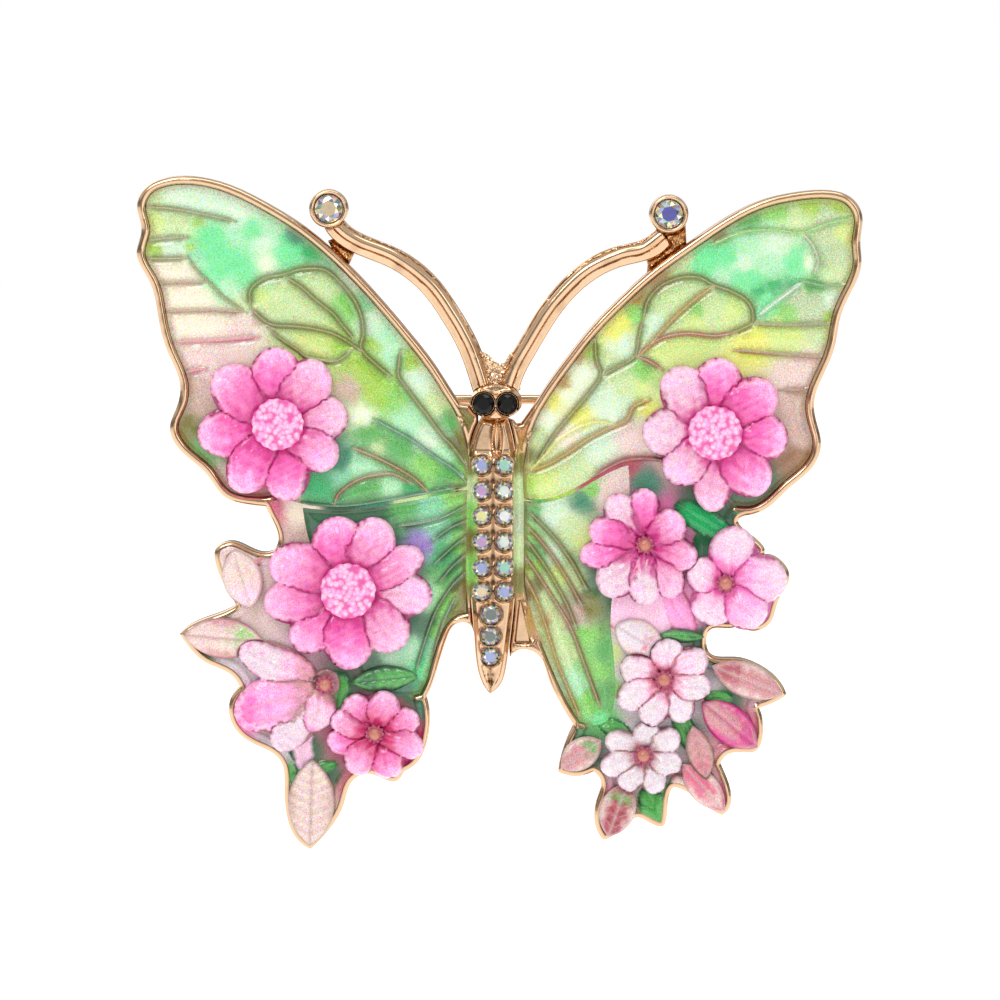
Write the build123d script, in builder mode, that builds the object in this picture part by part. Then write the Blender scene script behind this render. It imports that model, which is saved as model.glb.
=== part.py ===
"""A butterfly brooch: an enamelled cast frame with set stones, bonded flowers and a swinging pin.

The brooch stands as it is worn: +Z up, its face toward -Y, the pin stem along X behind it.
The origin is the middle of the pin stem. Heights are distances from the pin's axis toward -Y.
"""
from math import atan2, degrees, hypot
import os

from build123d import *

os.makedirs("parts", exist_ok=True)

# Heights of the casting's levels above the pin's axis, in mm
BACK = 3.6                      # flat back of the casting
FLOOR = 4.6                     # floor of the enamel pockets
RIM = 5.9                       # top of the rim, the enamel and the flower bed
ANTENNA_BACK = 4.2
ANTENNA_TOP = 5.8
CUP_TOP = 6.3                   # stone cups at the tips of the antennae
WEB_TOP = 5.3                   # lugs and webs between the larger shapes
BODY_TOP = 6.9
HEAD_TOP = 7.1

# Widths and depths of the casting, in mm
RIM_WIDTH = 0.75
INNER_RIM_WIDTH = 0.6           # rim along the inner edges of the hindwings
VEIN = 0.3                      # wall between the forewing and hindwing pockets
ANTENNA_WIDTH = 1.75
CUP_RADIUS = 1.62
CUP_CENTRES = ((-13.8, 15.95), (14.4, 15.5))
SEAT_GAP = 0.02                 # clearance round a stone
SEAT_DEPTH = 0.7

# Stones
GIRDLE = 0.45                   # straight lower part of a stone, inside its seat
CROWN = 0.4
CROWN_TAPER = 38
THORAX_ROWS = (-5.3, -7.4, -9.5, -11.65, -13.8, -15.8)
THORAX_COLUMNS = (("left", -1.12), ("right", 0.76))
THORAX_STONE = 0.76
ABDOMEN_STONES = ((-0.35, -17.7, 0.85), (-0.4, -19.5, 0.8), (-0.4, -21.2, 0.76))
EYES = (("left", -0.96, -0.2, 0.92), ("right", 1.0, -0.2, 0.88))
ANTENNA_STONE = 1.15

# Flowers and leaves, bonded onto the rim's level
FLOWER = 1.5                    # thickness of a flower
LEAF = 0.8
DISC = 0.9                      # height of a daisy's middle above its petals
BEAD = 0.7

# Pin, hinge and catch
WIRE_RADIUS = 0.4
SHOULDER_RADIUS = 0.5           # root of the pin, next to its eye, which tapers to the wire
SHOULDER_END = -9.5
HINGE_X = -13.0
CATCH_X = 12.5
TIP_X = 15.6
TIP_LENGTH = 5.6                # taper that the catch holds
EYE_RADIUS = 0.95
EYE_WIDTH = 1.0
RIVET_RADIUS = 0.35
RUNNING_GAP = 0.05
CHEEK_GAP = 1.2
CHEEK = 0.5
FOOT = 0.6
CATCH_LENGTH = 1.8
ROLLER_RADIUS = 1.05
SHELL = 0.4
SLOT = 1.1

# Outlines as (x, z) in mm. Each smooth run ends at the first point of the next run.
LEFT_MARGIN = (
    (-2.4, -1.0), (-3.7, 1.0), (-5.05, 3.1), (-7.0, 5.6), (-10.0, 9.1), (-13.0, 12.15), (-16.0, 14.65),
    (-19.0, 16.5), (-22.0, 17.95), (-25.0, 18.65), (-27.4, 18.5), (-29.1, 17.6), (-29.7, 16.2),
    (-29.35, 14.2), (-29.75, 12.3), (-28.75, 10.0), (-28.0, 7.0), (-27.2, 4.0), (-26.2, 1.4),
    (-26.4, -0.3), (-27.05, -2.3), (-26.1, -4.2), (-24.0, -6.1), (-22.5, -8.0), (-20.8, -8.6),
    (-19.1, -8.8),
)
LEFT_FLOWER_EDGE = (
    ((-19.1, -8.8), (-18.5, -10.0), (-18.05, -11.5)),
    ((-18.4, -12.4), (-20.0, -12.4), (-22.0, -11.65), (-23.2, -12.2), (-23.2, -13.8), (-22.3, -15.8)),
    ((-21.6, -16.95), (-23.4, -17.8), (-25.2, -18.5)),
    ((-26.3, -19.4), (-25.6, -20.4), (-24.1, -21.8), (-22.5, -22.5)),
    ((-21.3, -23.8), (-22.2, -26.0), (-21.7, -27.3), (-20.3, -28.5), (-18.8, -29.2)),
    ((-17.6, -31.4), (-17.5, -34.0), (-16.6, -36.5)),
    ((-15.4, -37.4), (-14.2, -36.2), (-12.6, -33.6), (-11.8, -31.6), (-10.6, -31.1), (-8.5, -31.75)),
    ((-7.6, -30.9), (-6.1, -29.6), (-5.6, -28.2), (-5.4, -26.3)),
)
LEFT_INNER_EDGE = (
    (-5.7, -24.6), (-4.8, -22.3), (-3.95, -19.6), (-3.4, -18.7), (-2.7, -18.45), (-1.8, -19.3),
)
RIGHT_MARGIN = (
    (2.2, -1.75), (3.2, -0.35), (4.25, 1.3), (6.0, 3.7), (8.0, 6.2), (10.0, 8.25), (13.0, 10.95),
    (16.1, 13.2), (19.0, 15.15), (22.0, 16.65), (25.0, 17.35), (27.6, 17.5), (29.5, 16.9), (30.45, 15.4),
    (30.3, 13.2), (30.4, 11.4), (29.7, 9.3), (28.7, 7.0), (28.25, 4.6), (27.3, 2.2), (26.5, -0.2),
    (26.75, -1.9), (27.1, -3.6), (26.4, -5.5), (24.4, -7.3), (22.8, -8.8), (20.8, -9.55),
)
RIGHT_FLOWER_EDGE = (
    ((20.8, -9.55), (20.25, -9.9), (21.4, -11.2)),
    ((22.3, -12.85), (23.5, -13.05), (24.5, -14.6), (23.6, -16.6), (22.9, -18.5), (21.8, -19.15)),
    ((20.3, -18.6), (19.2, -18.95), (18.2, -18.95)),
    ((17.6, -19.8), (18.3, -21.3), (20.0, -21.4), (22.0, -22.0), (23.6, -23.2)),
    ((24.3, -24.5), (23.3, -25.1)),
    ((22.0, -25.6), (22.35, -27.5), (21.7, -29.2), (20.0, -29.3)),
    ((18.8, -30.2), (19.5, -31.9), (19.6, -33.8)),
    ((18.9, -34.55), (17.2, -33.5), (15.8, -32.5)),
    ((14.9, -32.2), (14.4, -33.8), (13.9, -35.5), (12.9, -35.2), (11.9, -34.75), (10.4, -35.8)),
    ((9.0, -36.6), (8.3, -35.3), (8.4, -33.4), (8.8, -31.9)),
    ((8.2, -30.9), (6.8, -31.3)),
    ((5.2, -30.9), (5.6, -29.1), (6.2, -27.6)),
)
RIGHT_INNER_EDGE = (
    (6.5, -27.0), (5.3, -25.0), (4.4, -23.1), (3.6, -21.2), (2.5, -20.7), (1.2, -21.4),
)
LEFT_SEAM = ((-2.35, -7.2), (-5.0, -7.75), (-9.0, -8.5), (-12.5, -8.9), (-16.0, -8.7), (-18.2, -7.9))
RIGHT_SEAM = ((2.45, -8.2), (5.3, -8.0), (8.0, -6.6), (11.0, -5.2), (14.5, -5.4), (19.6, -8.7))
THORAX = (
    ((-0.9, -1.0), (-1.95, -3.2), (-2.2, -6.0), (-2.25, -12.0), (-2.05, -16.0), (-1.8, -19.0),
     (-1.6, -21.5), (-1.15, -23.3)),
    ((-0.45, -24.35), (0.5, -23.5), (0.95, -22.0), (1.35, -19.0), (1.6, -16.6), (1.8, -13.0),
     (1.85, -8.0), (1.7, -4.5)),
    ((0.9, -1.0),),
)
BRIDGES = (                     # flat links from the body to the two wings
    ((-3.2, -0.2), (-1.4, -0.4), (-1.4, -18.8), (-2.8, -18.3)),
    ((0.6, -1.2), (1.55, -1.6), (1.8, -1.9), (2.3, -1.8), (2.9, -20.5), (1.0, -20.5)),
)
LEFT_ANTENNA = (
    (-1.0, 1.0), (-1.6, 2.9), (-2.3, 4.7), (-3.65, 7.1), (-5.5, 9.65), (-8.4, 11.85), (-11.3, 13.05),
    (-12.9, 14.1), (-13.6, 15.2),
)
RIGHT_ANTENNA = (
    (1.1, 1.0), (1.75, 2.8), (2.7, 4.5), (4.8, 7.85), (7.5, 10.6), (10.3, 12.0), (12.3, 12.5),
    (14.0, 13.7),
)
WEBS = (
    ((-13.9, 13.3), (-12.9, 13.7), (-11.6, 12.5), (-12.2, 11.2), (-13.1, 11.8)),
    ((12.3, 12.4), (13.5, 14.4), (15.8, 14.9), (15.9, 12.8), (12.6, 10.3), (12.7, 11.3)),
)
FOREHEAD = (                    # web between the roots of the antennae
    (-1.8, 0.9), (-1.6, 2.8), (-1.3, 4.2), (-0.5, 3.8), (0.0, 3.25), (0.4, 3.05), (0.8, 3.2), (1.1, 3.8),
    (1.7, 4.3), (2.0, 2.8), (2.1, 0.9),
)
TAIL_POCKET = ((2.1, -16.6), (1.75, -20.1), (2.85, -20.1))
EJECTOR_MARKS = ((-22.5, 11.0), (-20.0, -3.5), (-9.0, -14.0), (22.5, 10.5), (20.0, -4.0), (9.0, -15.0))
EJECTOR_RADIUS = 0.8
EJECTOR_DEPTH = 0.15

# Each flower: its middle, then its petals as (tip x, tip z, width)
DAISIES = {
    "left_upper": ((-18.0, -1.9), 2.2, (
        (-18.3, 4.5, 4.6), (-14.3, 3.2, 4.4), (-12.2, -1.2, 4.2), (-13.2, -5.2, 4.0),
        (-17.0, -8.3, 4.2), (-21.6, -7.4, 4.2), (-24.7, -3.0, 4.4), (-23.2, 2.4, 4.6))),
    "left_lower": ((-12.2, -15.7), 2.35, (
        (-13.5, -9.6, 4.8), (-9.3, -9.8, 4.4), (-6.0, -12.6, 3.4), (-5.2, -16.2, 4.2),
        (-7.6, -20.4, 4.6), (-12.2, -22.3, 4.6), (-16.6, -20.6, 4.2), (-19.2, -17.0, 4.2),
        (-18.6, -12.9, 4.6))),
    "right_upper": ((18.2, -2.6), 2.3, (
        (18.6, 3.6, 4.6), (14.4, 2.6, 4.4), (12.2, -2.6, 4.4), (14.4, -6.6, 4.0),
        (18.0, -9.2, 3.6), (22.3, -7.6, 4.4), (24.3, -3.2, 4.4), (23.0, 1.4, 4.4))),
}
BLOSSOMS = {
    "left_small": ((-10.0, -27.6), 0.78, (
        (-12.3, -24.6, 3.0), (-8.9, -24.1, 3.0), (-6.3, -26.3, 2.8), (-6.0, -29.0, 2.8),
        (-8.4, -31.3, 3.0), (-12.0, -30.9, 3.0), (-14.0, -28.5, 2.8), (-13.7, -26.3, 2.6))),
    "left_lily": ((-14.1, -23.5), 0.75, (
        (-21.3, -20.6, 3.4), (-21.6, -26.3, 4.8), (-18.3, -28.9, 3.6), (-15.2, -27.4, 3.0))),
    "right_double": ((12.4, -11.9), 0.75, (
        (12.3, -7.2, 3.0), (9.5, -7.9, 3.2), (7.8, -10.4, 3.0), (7.0, -13.0, 2.8), (8.9, -16.0, 3.8),
        (12.4, -17.0, 3.2), (15.2, -16.2, 3.2), (16.8, -13.2, 3.0), (15.6, -9.6, 3.4))),
    "right_pale": ((19.1, -15.1), 0.75, (
        (20.2, -10.4, 4.0), (24.2, -14.6, 4.2), (22.0, -18.6, 3.8), (17.2, -18.4, 3.8),
        (16.0, -14.0, 3.2))),
    "right_white": ((14.0, -23.1), 0.8, (
        (14.6, -19.7, 3.0), (17.6, -21.0, 2.8), (17.9, -24.0, 2.8), (16.0, -26.6, 2.8),
        (12.7, -27.0, 2.8), (10.2, -25.2, 2.8), (10.4, -21.9, 2.8))),
    "right_small": ((12.3, -29.4), 0.75, (
        (12.8, -26.6, 2.4), (15.3, -27.6, 2.4), (15.5, -30.4, 2.4), (13.6, -32.6, 2.4),
        (10.7, -32.4, 2.4), (8.8, -30.6, 2.4), (9.2, -27.9, 2.4))),
}
# Each leaf or bud: a lens between two ends, with its width
LEAVES = {
    "left_pale_leaf": ((-21.7, -12.3), (-20.3, -17.2), 3.3),
    "left_side_leaf": ((-25.9, -19.4), (-19.2, -20.0), 3.4),
    "left_tail_leaf": ((-15.4, -37.0), (-15.2, -29.8), 3.9),
    "left_green_leaf": ((-6.4, -22.8), (-12.0, -23.4), 2.2),
    "right_small_bud": ((10.0, -18.6), (14.0, -21.0), 3.2),
    "right_stem_leaf": ((13.6, -19.4), (17.4, -19.6), 1.2),
    "right_upper_bud": ((18.0, -22.0), (23.9, -24.4), 2.9),
    "right_middle_bud": ((17.2, -25.0), (21.8, -28.8), 3.2),
    "right_mauve_leaf": ((16.4, -27.0), (17.6, -31.4), 2.2),
    "right_lower_bud": ((15.6, -30.2), (19.1, -34.1), 2.5),
    "right_tail_leaf": ((9.4, -36.2), (11.0, -31.8), 3.0),
    "right_inner_leaf": ((5.5, -30.5), (8.8, -28.2), 2.6),
}


def facing(height):
    """The plane at this height above the pin's axis, seen from the front of the brooch."""
    return Plane.XZ.offset(height)


def shifted(points, distance):
    """The run moved sideways by a distance, to the left of its direction of travel."""
    moved = []
    for index, (x, z) in enumerate(points):
        before = points[max(index - 1, 0)]
        after = points[min(index + 1, len(points) - 1)]
        dx, dz = after[0] - before[0], after[1] - before[1]
        length = hypot(dx, dz)
        moved.append((x - distance * dz / length, z + distance * dx / length))
    return tuple(moved)


def closed_outline(runs):
    """Draw a closed outline from smooth runs that meet at corners, and fill it."""
    with BuildLine() as outline:
        for run, following in zip(runs, (*runs[1:], runs[0])):
            points = (*run, following[0])
            if len(points) == 2:
                Line(*points)
            else:
                Spline(*points)
    make_face(outline.edges())


def wing_root(inner_edge, root_x):
    """The inner edge of a hindwing, then straight sides that end inside the body."""
    return inner_edge[:-1], (inner_edge[-1],), ((root_x, -10.0),)


def polygon(points):
    """Draw a closed outline with straight sides, and fill it."""
    with BuildLine() as outline:
        Polyline(*points, close=True)
    make_face(outline.edges())


def band(points, width):
    """Draw a strip of constant width along a smooth run."""
    left = shifted(points, width / 2)
    right = tuple(reversed(shifted(points, -width / 2)))
    closed_outline((left[:-1], (left[-1],), right[:-1], (right[-1],)))


def petals(middle, tips, hub):
    """Draw a flower: an ellipse for each petal, joined by a round hub."""
    with Locations(middle):
        Circle(hub)
    for tip_x, tip_z, width in tips:
        dx, dz = tip_x - middle[0], tip_z - middle[1]
        with Locations((middle[0] + dx * 0.55, middle[1] + dz * 0.55)):
            Ellipse(hypot(dx, dz) * 0.45, width / 2, rotation=degrees(atan2(dz, dx)))


def lens(start, end, width):
    """Draw a pointed leaf between its two ends."""
    middle = ((start[0] + end[0]) / 2, (start[1] + end[1]) / 2)
    dx, dz = end[0] - start[0], end[1] - start[1]
    length = hypot(dx, dz)
    side = (-dz / length * width / 2, dx / length * width / 2)
    with BuildLine() as outline:
        ThreePointArc(start, (middle[0] + side[0], middle[1] + side[1]), end)
        ThreePointArc(end, (middle[0] - side[0], middle[1] - side[1]), start)
    make_face(outline.edges())


def left_fore_pocket():
    inner = shifted(LEFT_MARGIN[1:-1], RIM_WIDTH)
    seam = tuple(reversed(shifted(LEFT_SEAM, -VEIN / 2)))
    closed_outline((inner, seam[:-1], (seam[-1], (-2.35, -4.0))))


def left_hind_pocket():
    seam = shifted(LEFT_SEAM[:-1], VEIN / 2)
    inner = shifted(LEFT_INNER_EDGE[:-2], INNER_RIM_WIDTH)
    hidden = (seam[-1], (-15.0, -13.0), (-12.6, -18.5), (-10.6, -23.4))
    closed_outline((seam[:-1], hidden, inner, ((-2.4, -17.6), (-2.42, -12.0))))


def right_fore_pocket():
    inner = shifted(RIGHT_MARGIN[1:-1], -RIM_WIDTH)
    seam = tuple(reversed(shifted(RIGHT_SEAM, VEIN / 2)))
    closed_outline((inner, seam[:-1], (seam[-1], (2.4, -5.5))))


def right_hind_pocket():
    seam = shifted(RIGHT_SEAM[:4], -VEIN / 2)
    inner = shifted(RIGHT_INNER_EDGE[:-2], -INNER_RIM_WIDTH)
    hidden = (seam[-1], (10.8, -11.0), (9.6, -18.0), (10.0, -24.0), (9.3, -26.6))
    closed_outline((seam[:-1], hidden, inner, ((2.5, -15.5), (2.45, -12.0))))


POCKETS = {
    "left_forewing_enamel": left_fore_pocket,
    "left_hindwing_enamel": left_hind_pocket,
    "right_forewing_enamel": right_fore_pocket,
    "right_hindwing_enamel": right_hind_pocket,
}


def save(builder, name):
    """Label a finished sub-part and write its STEP file."""
    builder.part.label = name
    export_step(builder.part, f"parts/{name}.step")


# Stones by name: (x, z, radius, height of the surface that the seat is sunk into)
stones = {}
for row, row_z in enumerate(THORAX_ROWS, start=1):
    for side, column_x in THORAX_COLUMNS:
        stones[f"thorax_stone_{side}_{row}"] = (column_x, row_z, THORAX_STONE, BODY_TOP)
for number, (x, z, radius) in enumerate(ABDOMEN_STONES, start=1):
    stones[f"abdomen_stone_{number}"] = (x, z, radius, BODY_TOP)
for side, x, z, radius in EYES:
    stones[f"{side}_eye"] = (x, z, radius, HEAD_TOP)
for side, (x, z) in zip(("left", "right"), CUP_CENTRES):
    stones[f"{side}_antenna_stone"] = (x, z, ANTENNA_STONE, CUP_TOP)


# Cast frame: wings, flower beds, body, head, antennae and their cups in one casting
with BuildPart() as cast_frame:
    with BuildSketch(facing(BACK)):
        closed_outline((LEFT_MARGIN[:-1], *LEFT_FLOWER_EDGE, *wing_root(LEFT_INNER_EDGE, -1.0)))
        closed_outline((RIGHT_MARGIN[:-1], *RIGHT_FLOWER_EDGE, *wing_root(RIGHT_INNER_EDGE, 1.0)))
        for bridge in BRIDGES:
            polygon(bridge)
    extrude(amount=RIM - BACK)
    with BuildSketch(facing(FLOOR)):
        for draw_pocket in POCKETS.values():
            draw_pocket()
        polygon(TAIL_POCKET)
    extrude(amount=RIM - FLOOR, mode=Mode.SUBTRACT)
    with BuildSketch(facing(BACK)):
        closed_outline(THORAX)
    extrude(amount=BODY_TOP - BACK)
    with BuildSketch(facing(BACK)):
        with Locations((0.05, -0.05)):
            Ellipse(2.2, 1.45)
    extrude(amount=HEAD_TOP - BACK)
    with BuildSketch(facing(BACK)):
        for web in WEBS:
            polygon(web)
    extrude(amount=WEB_TOP - BACK)
    with BuildSketch(facing(ANTENNA_BACK)):
        band(LEFT_ANTENNA, ANTENNA_WIDTH)
        band(RIGHT_ANTENNA, ANTENNA_WIDTH)
        polygon(FOREHEAD)
    extrude(amount=ANTENNA_TOP - ANTENNA_BACK)
    with BuildSketch(facing(ANTENNA_BACK)):
        with Locations(*CUP_CENTRES):
            Circle(CUP_RADIUS)
    extrude(amount=CUP_TOP - ANTENNA_BACK)
    for x, z, radius, surface in stones.values():
        with BuildSketch(facing(surface)):
            with Locations((x, z)):
                Circle(radius + SEAT_GAP)
        extrude(amount=-SEAT_DEPTH, mode=Mode.SUBTRACT)
    with BuildSketch(facing(BACK)):
        with Locations(*EJECTOR_MARKS):
            Circle(EJECTOR_RADIUS)
    extrude(amount=EJECTOR_DEPTH, mode=Mode.SUBTRACT)
save(cast_frame, "cast_frame")


# Enamel fills, flush with the rim
for enamel_name, draw_pocket in POCKETS.items():
    with BuildPart() as enamel:
        with BuildSketch(facing(FLOOR)):
            draw_pocket()
        extrude(amount=RIM - FLOOR)
    save(enamel, enamel_name)


# Flat-backed stones, each in its seat
for stone_name, (x, z, radius, surface) in stones.items():
    with BuildPart() as stone:
        with BuildSketch(facing(surface - SEAT_DEPTH)):
            with Locations((x, z)):
                Circle(radius)
        extrude(amount=GIRDLE)
        with BuildSketch(facing(surface - SEAT_DEPTH + GIRDLE)):
            with Locations((x, z)):
                Circle(radius)
        extrude(amount=CROWN, taper=CROWN_TAPER)
    save(stone, stone_name)


# Daisies and small blossoms, each with its middle
flowers = {}
for flower_name, (middle, middle_radius, tips) in {**DAISIES, **BLOSSOMS}.items():
    is_daisy = flower_name in DAISIES
    with BuildPart() as flower:
        with BuildSketch(facing(RIM)):
            petals(middle, tips, middle_radius * (1.2 if is_daisy else 1.6))
        extrude(amount=FLOWER)
        for upper in flowers.values():
            add(upper, mode=Mode.SUBTRACT)
    flowers[flower_name] = flower.part
    save(flower, f"{flower_name}_{'daisy' if is_daisy else 'flower'}")

    with BuildPart() as centre:
        with BuildSketch(facing(RIM + FLOWER)):
            with Locations(middle):
                Circle(middle_radius)
        extrude(amount=DISC if is_daisy else BEAD)
        fillet(centre.edges().group_by(Axis.Y)[0], radius=0.55 if is_daisy else 0.5)
    save(centre, f"{flower_name}_{'disc' if is_daisy else 'bead'}")


# Leaves and buds, which stop where a flower or an earlier leaf covers them
covers = list(flowers.values())
for leaf_name, (start, end, width) in LEAVES.items():
    with BuildPart() as leaf:
        with BuildSketch(facing(RIM)):
            lens(start, end, width)
        extrude(amount=LEAF)
        for upper in covers:
            add(upper, mode=Mode.SUBTRACT)
    largest = leaf.part.solids().sort_by(SortBy.VOLUME)[-1]
    covers.append(largest)
    with BuildPart() as trimmed_leaf:
        add(largest)
    save(trimmed_leaf, leaf_name)


# Hinge bracket on the back of one wing: a foot, two cheeks and a wall that stops the open pin
with BuildPart() as pin_joint_bracket:
    with BuildSketch(facing(BACK - FOOT)):
        with Locations((HINGE_X - 0.4, 0)):
            RectangleRounded(4.4, 4.4, 0.6)
    extrude(amount=FOOT)
    for direction in (-1, 1):
        cheek_z = direction * (CHEEK_GAP + CHEEK) / 2
        with BuildSketch(Plane.XY.offset(cheek_z - CHEEK / 2)):
            with BuildLine():
                Line((HINGE_X - 1.5, -BACK + FOOT), (HINGE_X + 1.2, -BACK + FOOT))
                Line((HINGE_X + 1.2, -BACK + FOOT), (HINGE_X + 1.0, 0))
                ThreePointArc((HINGE_X + 1.0, 0), (HINGE_X, 1.0), (HINGE_X - 1.0, 0.9))
                Line((HINGE_X - 1.0, 0.9), (HINGE_X - 1.5, 0.9))
                Line((HINGE_X - 1.5, 0.9), (HINGE_X - 1.5, -BACK + FOOT))
            make_face()
            with Locations((HINGE_X, 0)):
                Circle(RIVET_RADIUS + 0.01, mode=Mode.SUBTRACT)
        extrude(amount=CHEEK)
    wall_height = BACK - FOOT + 0.9
    with Locations((HINGE_X - 1.3, 0.9 - wall_height / 2, 0)):
        Box(0.4, wall_height, CHEEK_GAP + 2 * CHEEK)
save(pin_joint_bracket, "pin_joint_bracket")


# Rivet through the cheeks and the pin's eye
with BuildPart() as pin_rivet:
    stack = CHEEK_GAP + 2 * CHEEK
    with BuildSketch(Plane.XY.offset(-stack / 2)):
        with Locations((HINGE_X, 0)):
            Circle(RIVET_RADIUS)
    extrude(amount=stack)
    for face_z, direction in ((stack / 2, 1), (-stack / 2, -1)):
        with BuildSketch(Plane.XY.offset(face_z)):
            with Locations((HINGE_X, 0)):
                Circle(0.6)
        extrude(amount=0.25 * direction)
save(pin_rivet, "pin_rivet")


# Pin stem: a flattened eye, a tapered root, a straight wire and a sharp tip
with BuildPart() as pin_stem:
    with BuildSketch(Plane.XY.offset(-EYE_WIDTH / 2)):
        with Locations((HINGE_X, 0)):
            Circle(EYE_RADIUS)
    extrude(amount=EYE_WIDTH)
    root_start = HINGE_X + EYE_RADIUS * 0.8
    cone_start = TIP_X - TIP_LENGTH
    with BuildSketch(Plane.YZ.offset(root_start)):
        Circle(SHOULDER_RADIUS)
    with BuildSketch(Plane.YZ.offset(SHOULDER_END)):
        Circle(WIRE_RADIUS)
    loft()
    with BuildSketch(Plane.YZ.offset(SHOULDER_END)):
        Circle(WIRE_RADIUS)
    extrude(amount=cone_start - SHOULDER_END)
    with BuildSketch(Plane.YZ.offset(cone_start)):
        Circle(WIRE_RADIUS)
    with BuildSketch(Plane.YZ.offset(TIP_X)):
        Circle(0.04)
    loft()
    with BuildSketch(Plane.XY.offset(-EYE_WIDTH / 2)):
        with Locations((HINGE_X, 0)):
            Circle(RIVET_RADIUS + RUNNING_GAP)
    extrude(amount=EYE_WIDTH, mode=Mode.SUBTRACT)
save(pin_stem, "pin_stem")


# Catch housing on the back of the other wing: a foot, a neck and an open ring
ring_bore = ROLLER_RADIUS + RUNNING_GAP
ring_radius = ring_bore + SHELL
with BuildPart() as catch_housing:
    with BuildSketch(facing(BACK - FOOT)):
        with Locations((CATCH_X, 0)):
            RectangleRounded(3.4, 4.2, 0.6)
    extrude(amount=FOOT)
    neck_height = BACK - FOOT
    with Locations((CATCH_X, -neck_height / 2, 0)):
        Box(CATCH_LENGTH, neck_height, 1.7)
    with BuildSketch(Plane.YZ.offset(CATCH_X - CATCH_LENGTH / 2)):
        Circle(ring_radius)
    extrude(amount=CATCH_LENGTH)
    with BuildSketch(Plane.YZ.offset(CATCH_X - CATCH_LENGTH / 2)):
        Circle(ring_bore)
        with Locations((ring_radius, 0)):
            Rectangle(2 * ring_radius, SLOT)
    extrude(amount=CATCH_LENGTH, mode=Mode.SUBTRACT)
save(catch_housing, "catch_housing")


# Safety roller: a slotted drum in the ring, with a collar and a thumb tab outside it
collar_x = CATCH_X + CATCH_LENGTH / 2 + RUNNING_GAP
with BuildPart() as catch_roller:
    with BuildSketch(Plane.YZ.offset(CATCH_X - CATCH_LENGTH / 2)):
        Circle(ROLLER_RADIUS)
    extrude(amount=CATCH_LENGTH + RUNNING_GAP)
    with BuildSketch(Plane.YZ.offset(collar_x)):
        Circle(ring_radius)
        with Locations((0, -1.6)):
            RectangleRounded(1.0, 2.0, 0.3)
    extrude(amount=0.5)
    with BuildSketch(Plane.YZ.offset(CATCH_X - CATCH_LENGTH / 2)):
        Circle(SLOT / 2)
        with Locations((ring_radius, 0)):
            Rectangle(2 * ring_radius, SLOT)
    extrude(amount=CATCH_LENGTH + 1.0, mode=Mode.SUBTRACT)
save(catch_roller, "catch_roller")
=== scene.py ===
"""How the butterfly brooch looks: gilt casting, printed enamel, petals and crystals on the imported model.

The brooch stands as it is worn: +Z up, its face toward -Y. Lengths in this file are in mm until a mesh
is made, and a height is a distance from the pin's axis toward -Y, as in the CAD model.
"""

from math import cos, hypot, pi, radians, sin

import bpy
import numpy as np
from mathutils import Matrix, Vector, kdtree
from mathutils.geometry import delaunay_2d_cdt


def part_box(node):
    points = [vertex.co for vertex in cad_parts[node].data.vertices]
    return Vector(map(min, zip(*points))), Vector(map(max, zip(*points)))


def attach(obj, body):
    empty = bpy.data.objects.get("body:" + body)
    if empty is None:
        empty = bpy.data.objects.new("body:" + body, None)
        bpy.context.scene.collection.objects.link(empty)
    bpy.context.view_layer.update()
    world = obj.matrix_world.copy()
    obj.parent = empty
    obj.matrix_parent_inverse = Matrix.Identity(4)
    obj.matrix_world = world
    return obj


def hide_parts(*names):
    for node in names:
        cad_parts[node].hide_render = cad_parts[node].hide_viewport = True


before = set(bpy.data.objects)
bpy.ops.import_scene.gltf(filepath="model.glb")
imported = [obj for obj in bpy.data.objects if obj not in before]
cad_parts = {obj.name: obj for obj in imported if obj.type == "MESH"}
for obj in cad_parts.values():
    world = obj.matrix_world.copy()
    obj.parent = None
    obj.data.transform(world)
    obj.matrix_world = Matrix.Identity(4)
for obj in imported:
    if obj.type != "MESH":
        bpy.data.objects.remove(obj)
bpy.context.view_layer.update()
MM = 0.001

# The casting's levels, then how far the flowers and leaves stand above its rim
BACK, FLOOR, RIM = 3.6, 4.6, 5.9
ANTENNA_BACK, ANTENNA_TOP, CUP_TOP, WEB_TOP = 4.2, 5.8, 6.3, 5.3
BODY_TOP, HEAD_TOP, SEAT_DEPTH = 6.9, 7.1, 0.7
MARK_RADIUS, MARK_DEPTH = 0.8, 0.15
FLOWER, LEAF = 1.5, 0.8

# Colours, as they look on screen
COLOURS = {
    "gold": (208, 175, 142), "deep_gold": (198, 146, 96), "bronze": (110, 74, 46),
    "cream": (228, 216, 194), "pale_rose": (216, 190, 184), "white": (216, 226, 196),
    "mist": (196, 218, 190), "sage": (184, 204, 146), "grey_sage": (172, 188, 150), "pale_lime": (194, 212, 124),
    "lime": (150, 188, 62), "yellow": (214, 214, 96), "spring": (122, 188, 84), "green": (76, 156, 74),
    "mint": (162, 212, 168), "aqua": (116, 190, 146), "emerald": (98, 208, 136), "deep_emerald": (16, 156, 84),
    "teal": (44, 120, 92), "forest": (26, 88, 52), "olive": (110, 108, 40), "ochre": (168, 128, 52),
    "brown": (136, 92, 54), "tan": (188, 134, 82), "maroon": (158, 62, 76), "rose": (200, 96, 122),
    "mauve": (190, 160, 150), "violet": (150, 110, 190),
    "magenta": (196, 44, 128), "hot_pink": (226, 92, 166), "pink": (242, 158, 208), "blush": (240, 192, 218),
    "petal_white": (212, 200, 207), "dusty_rose": (192, 132, 136), "crimson": (196, 40, 104),
}


def linear(name):
    """A named colour in linear light."""
    value = np.array(COLOURS[name]) / 255
    return np.where(value < 0.04045, value / 12.92, ((value + 0.055) / 1.055) ** 2.4)


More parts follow.
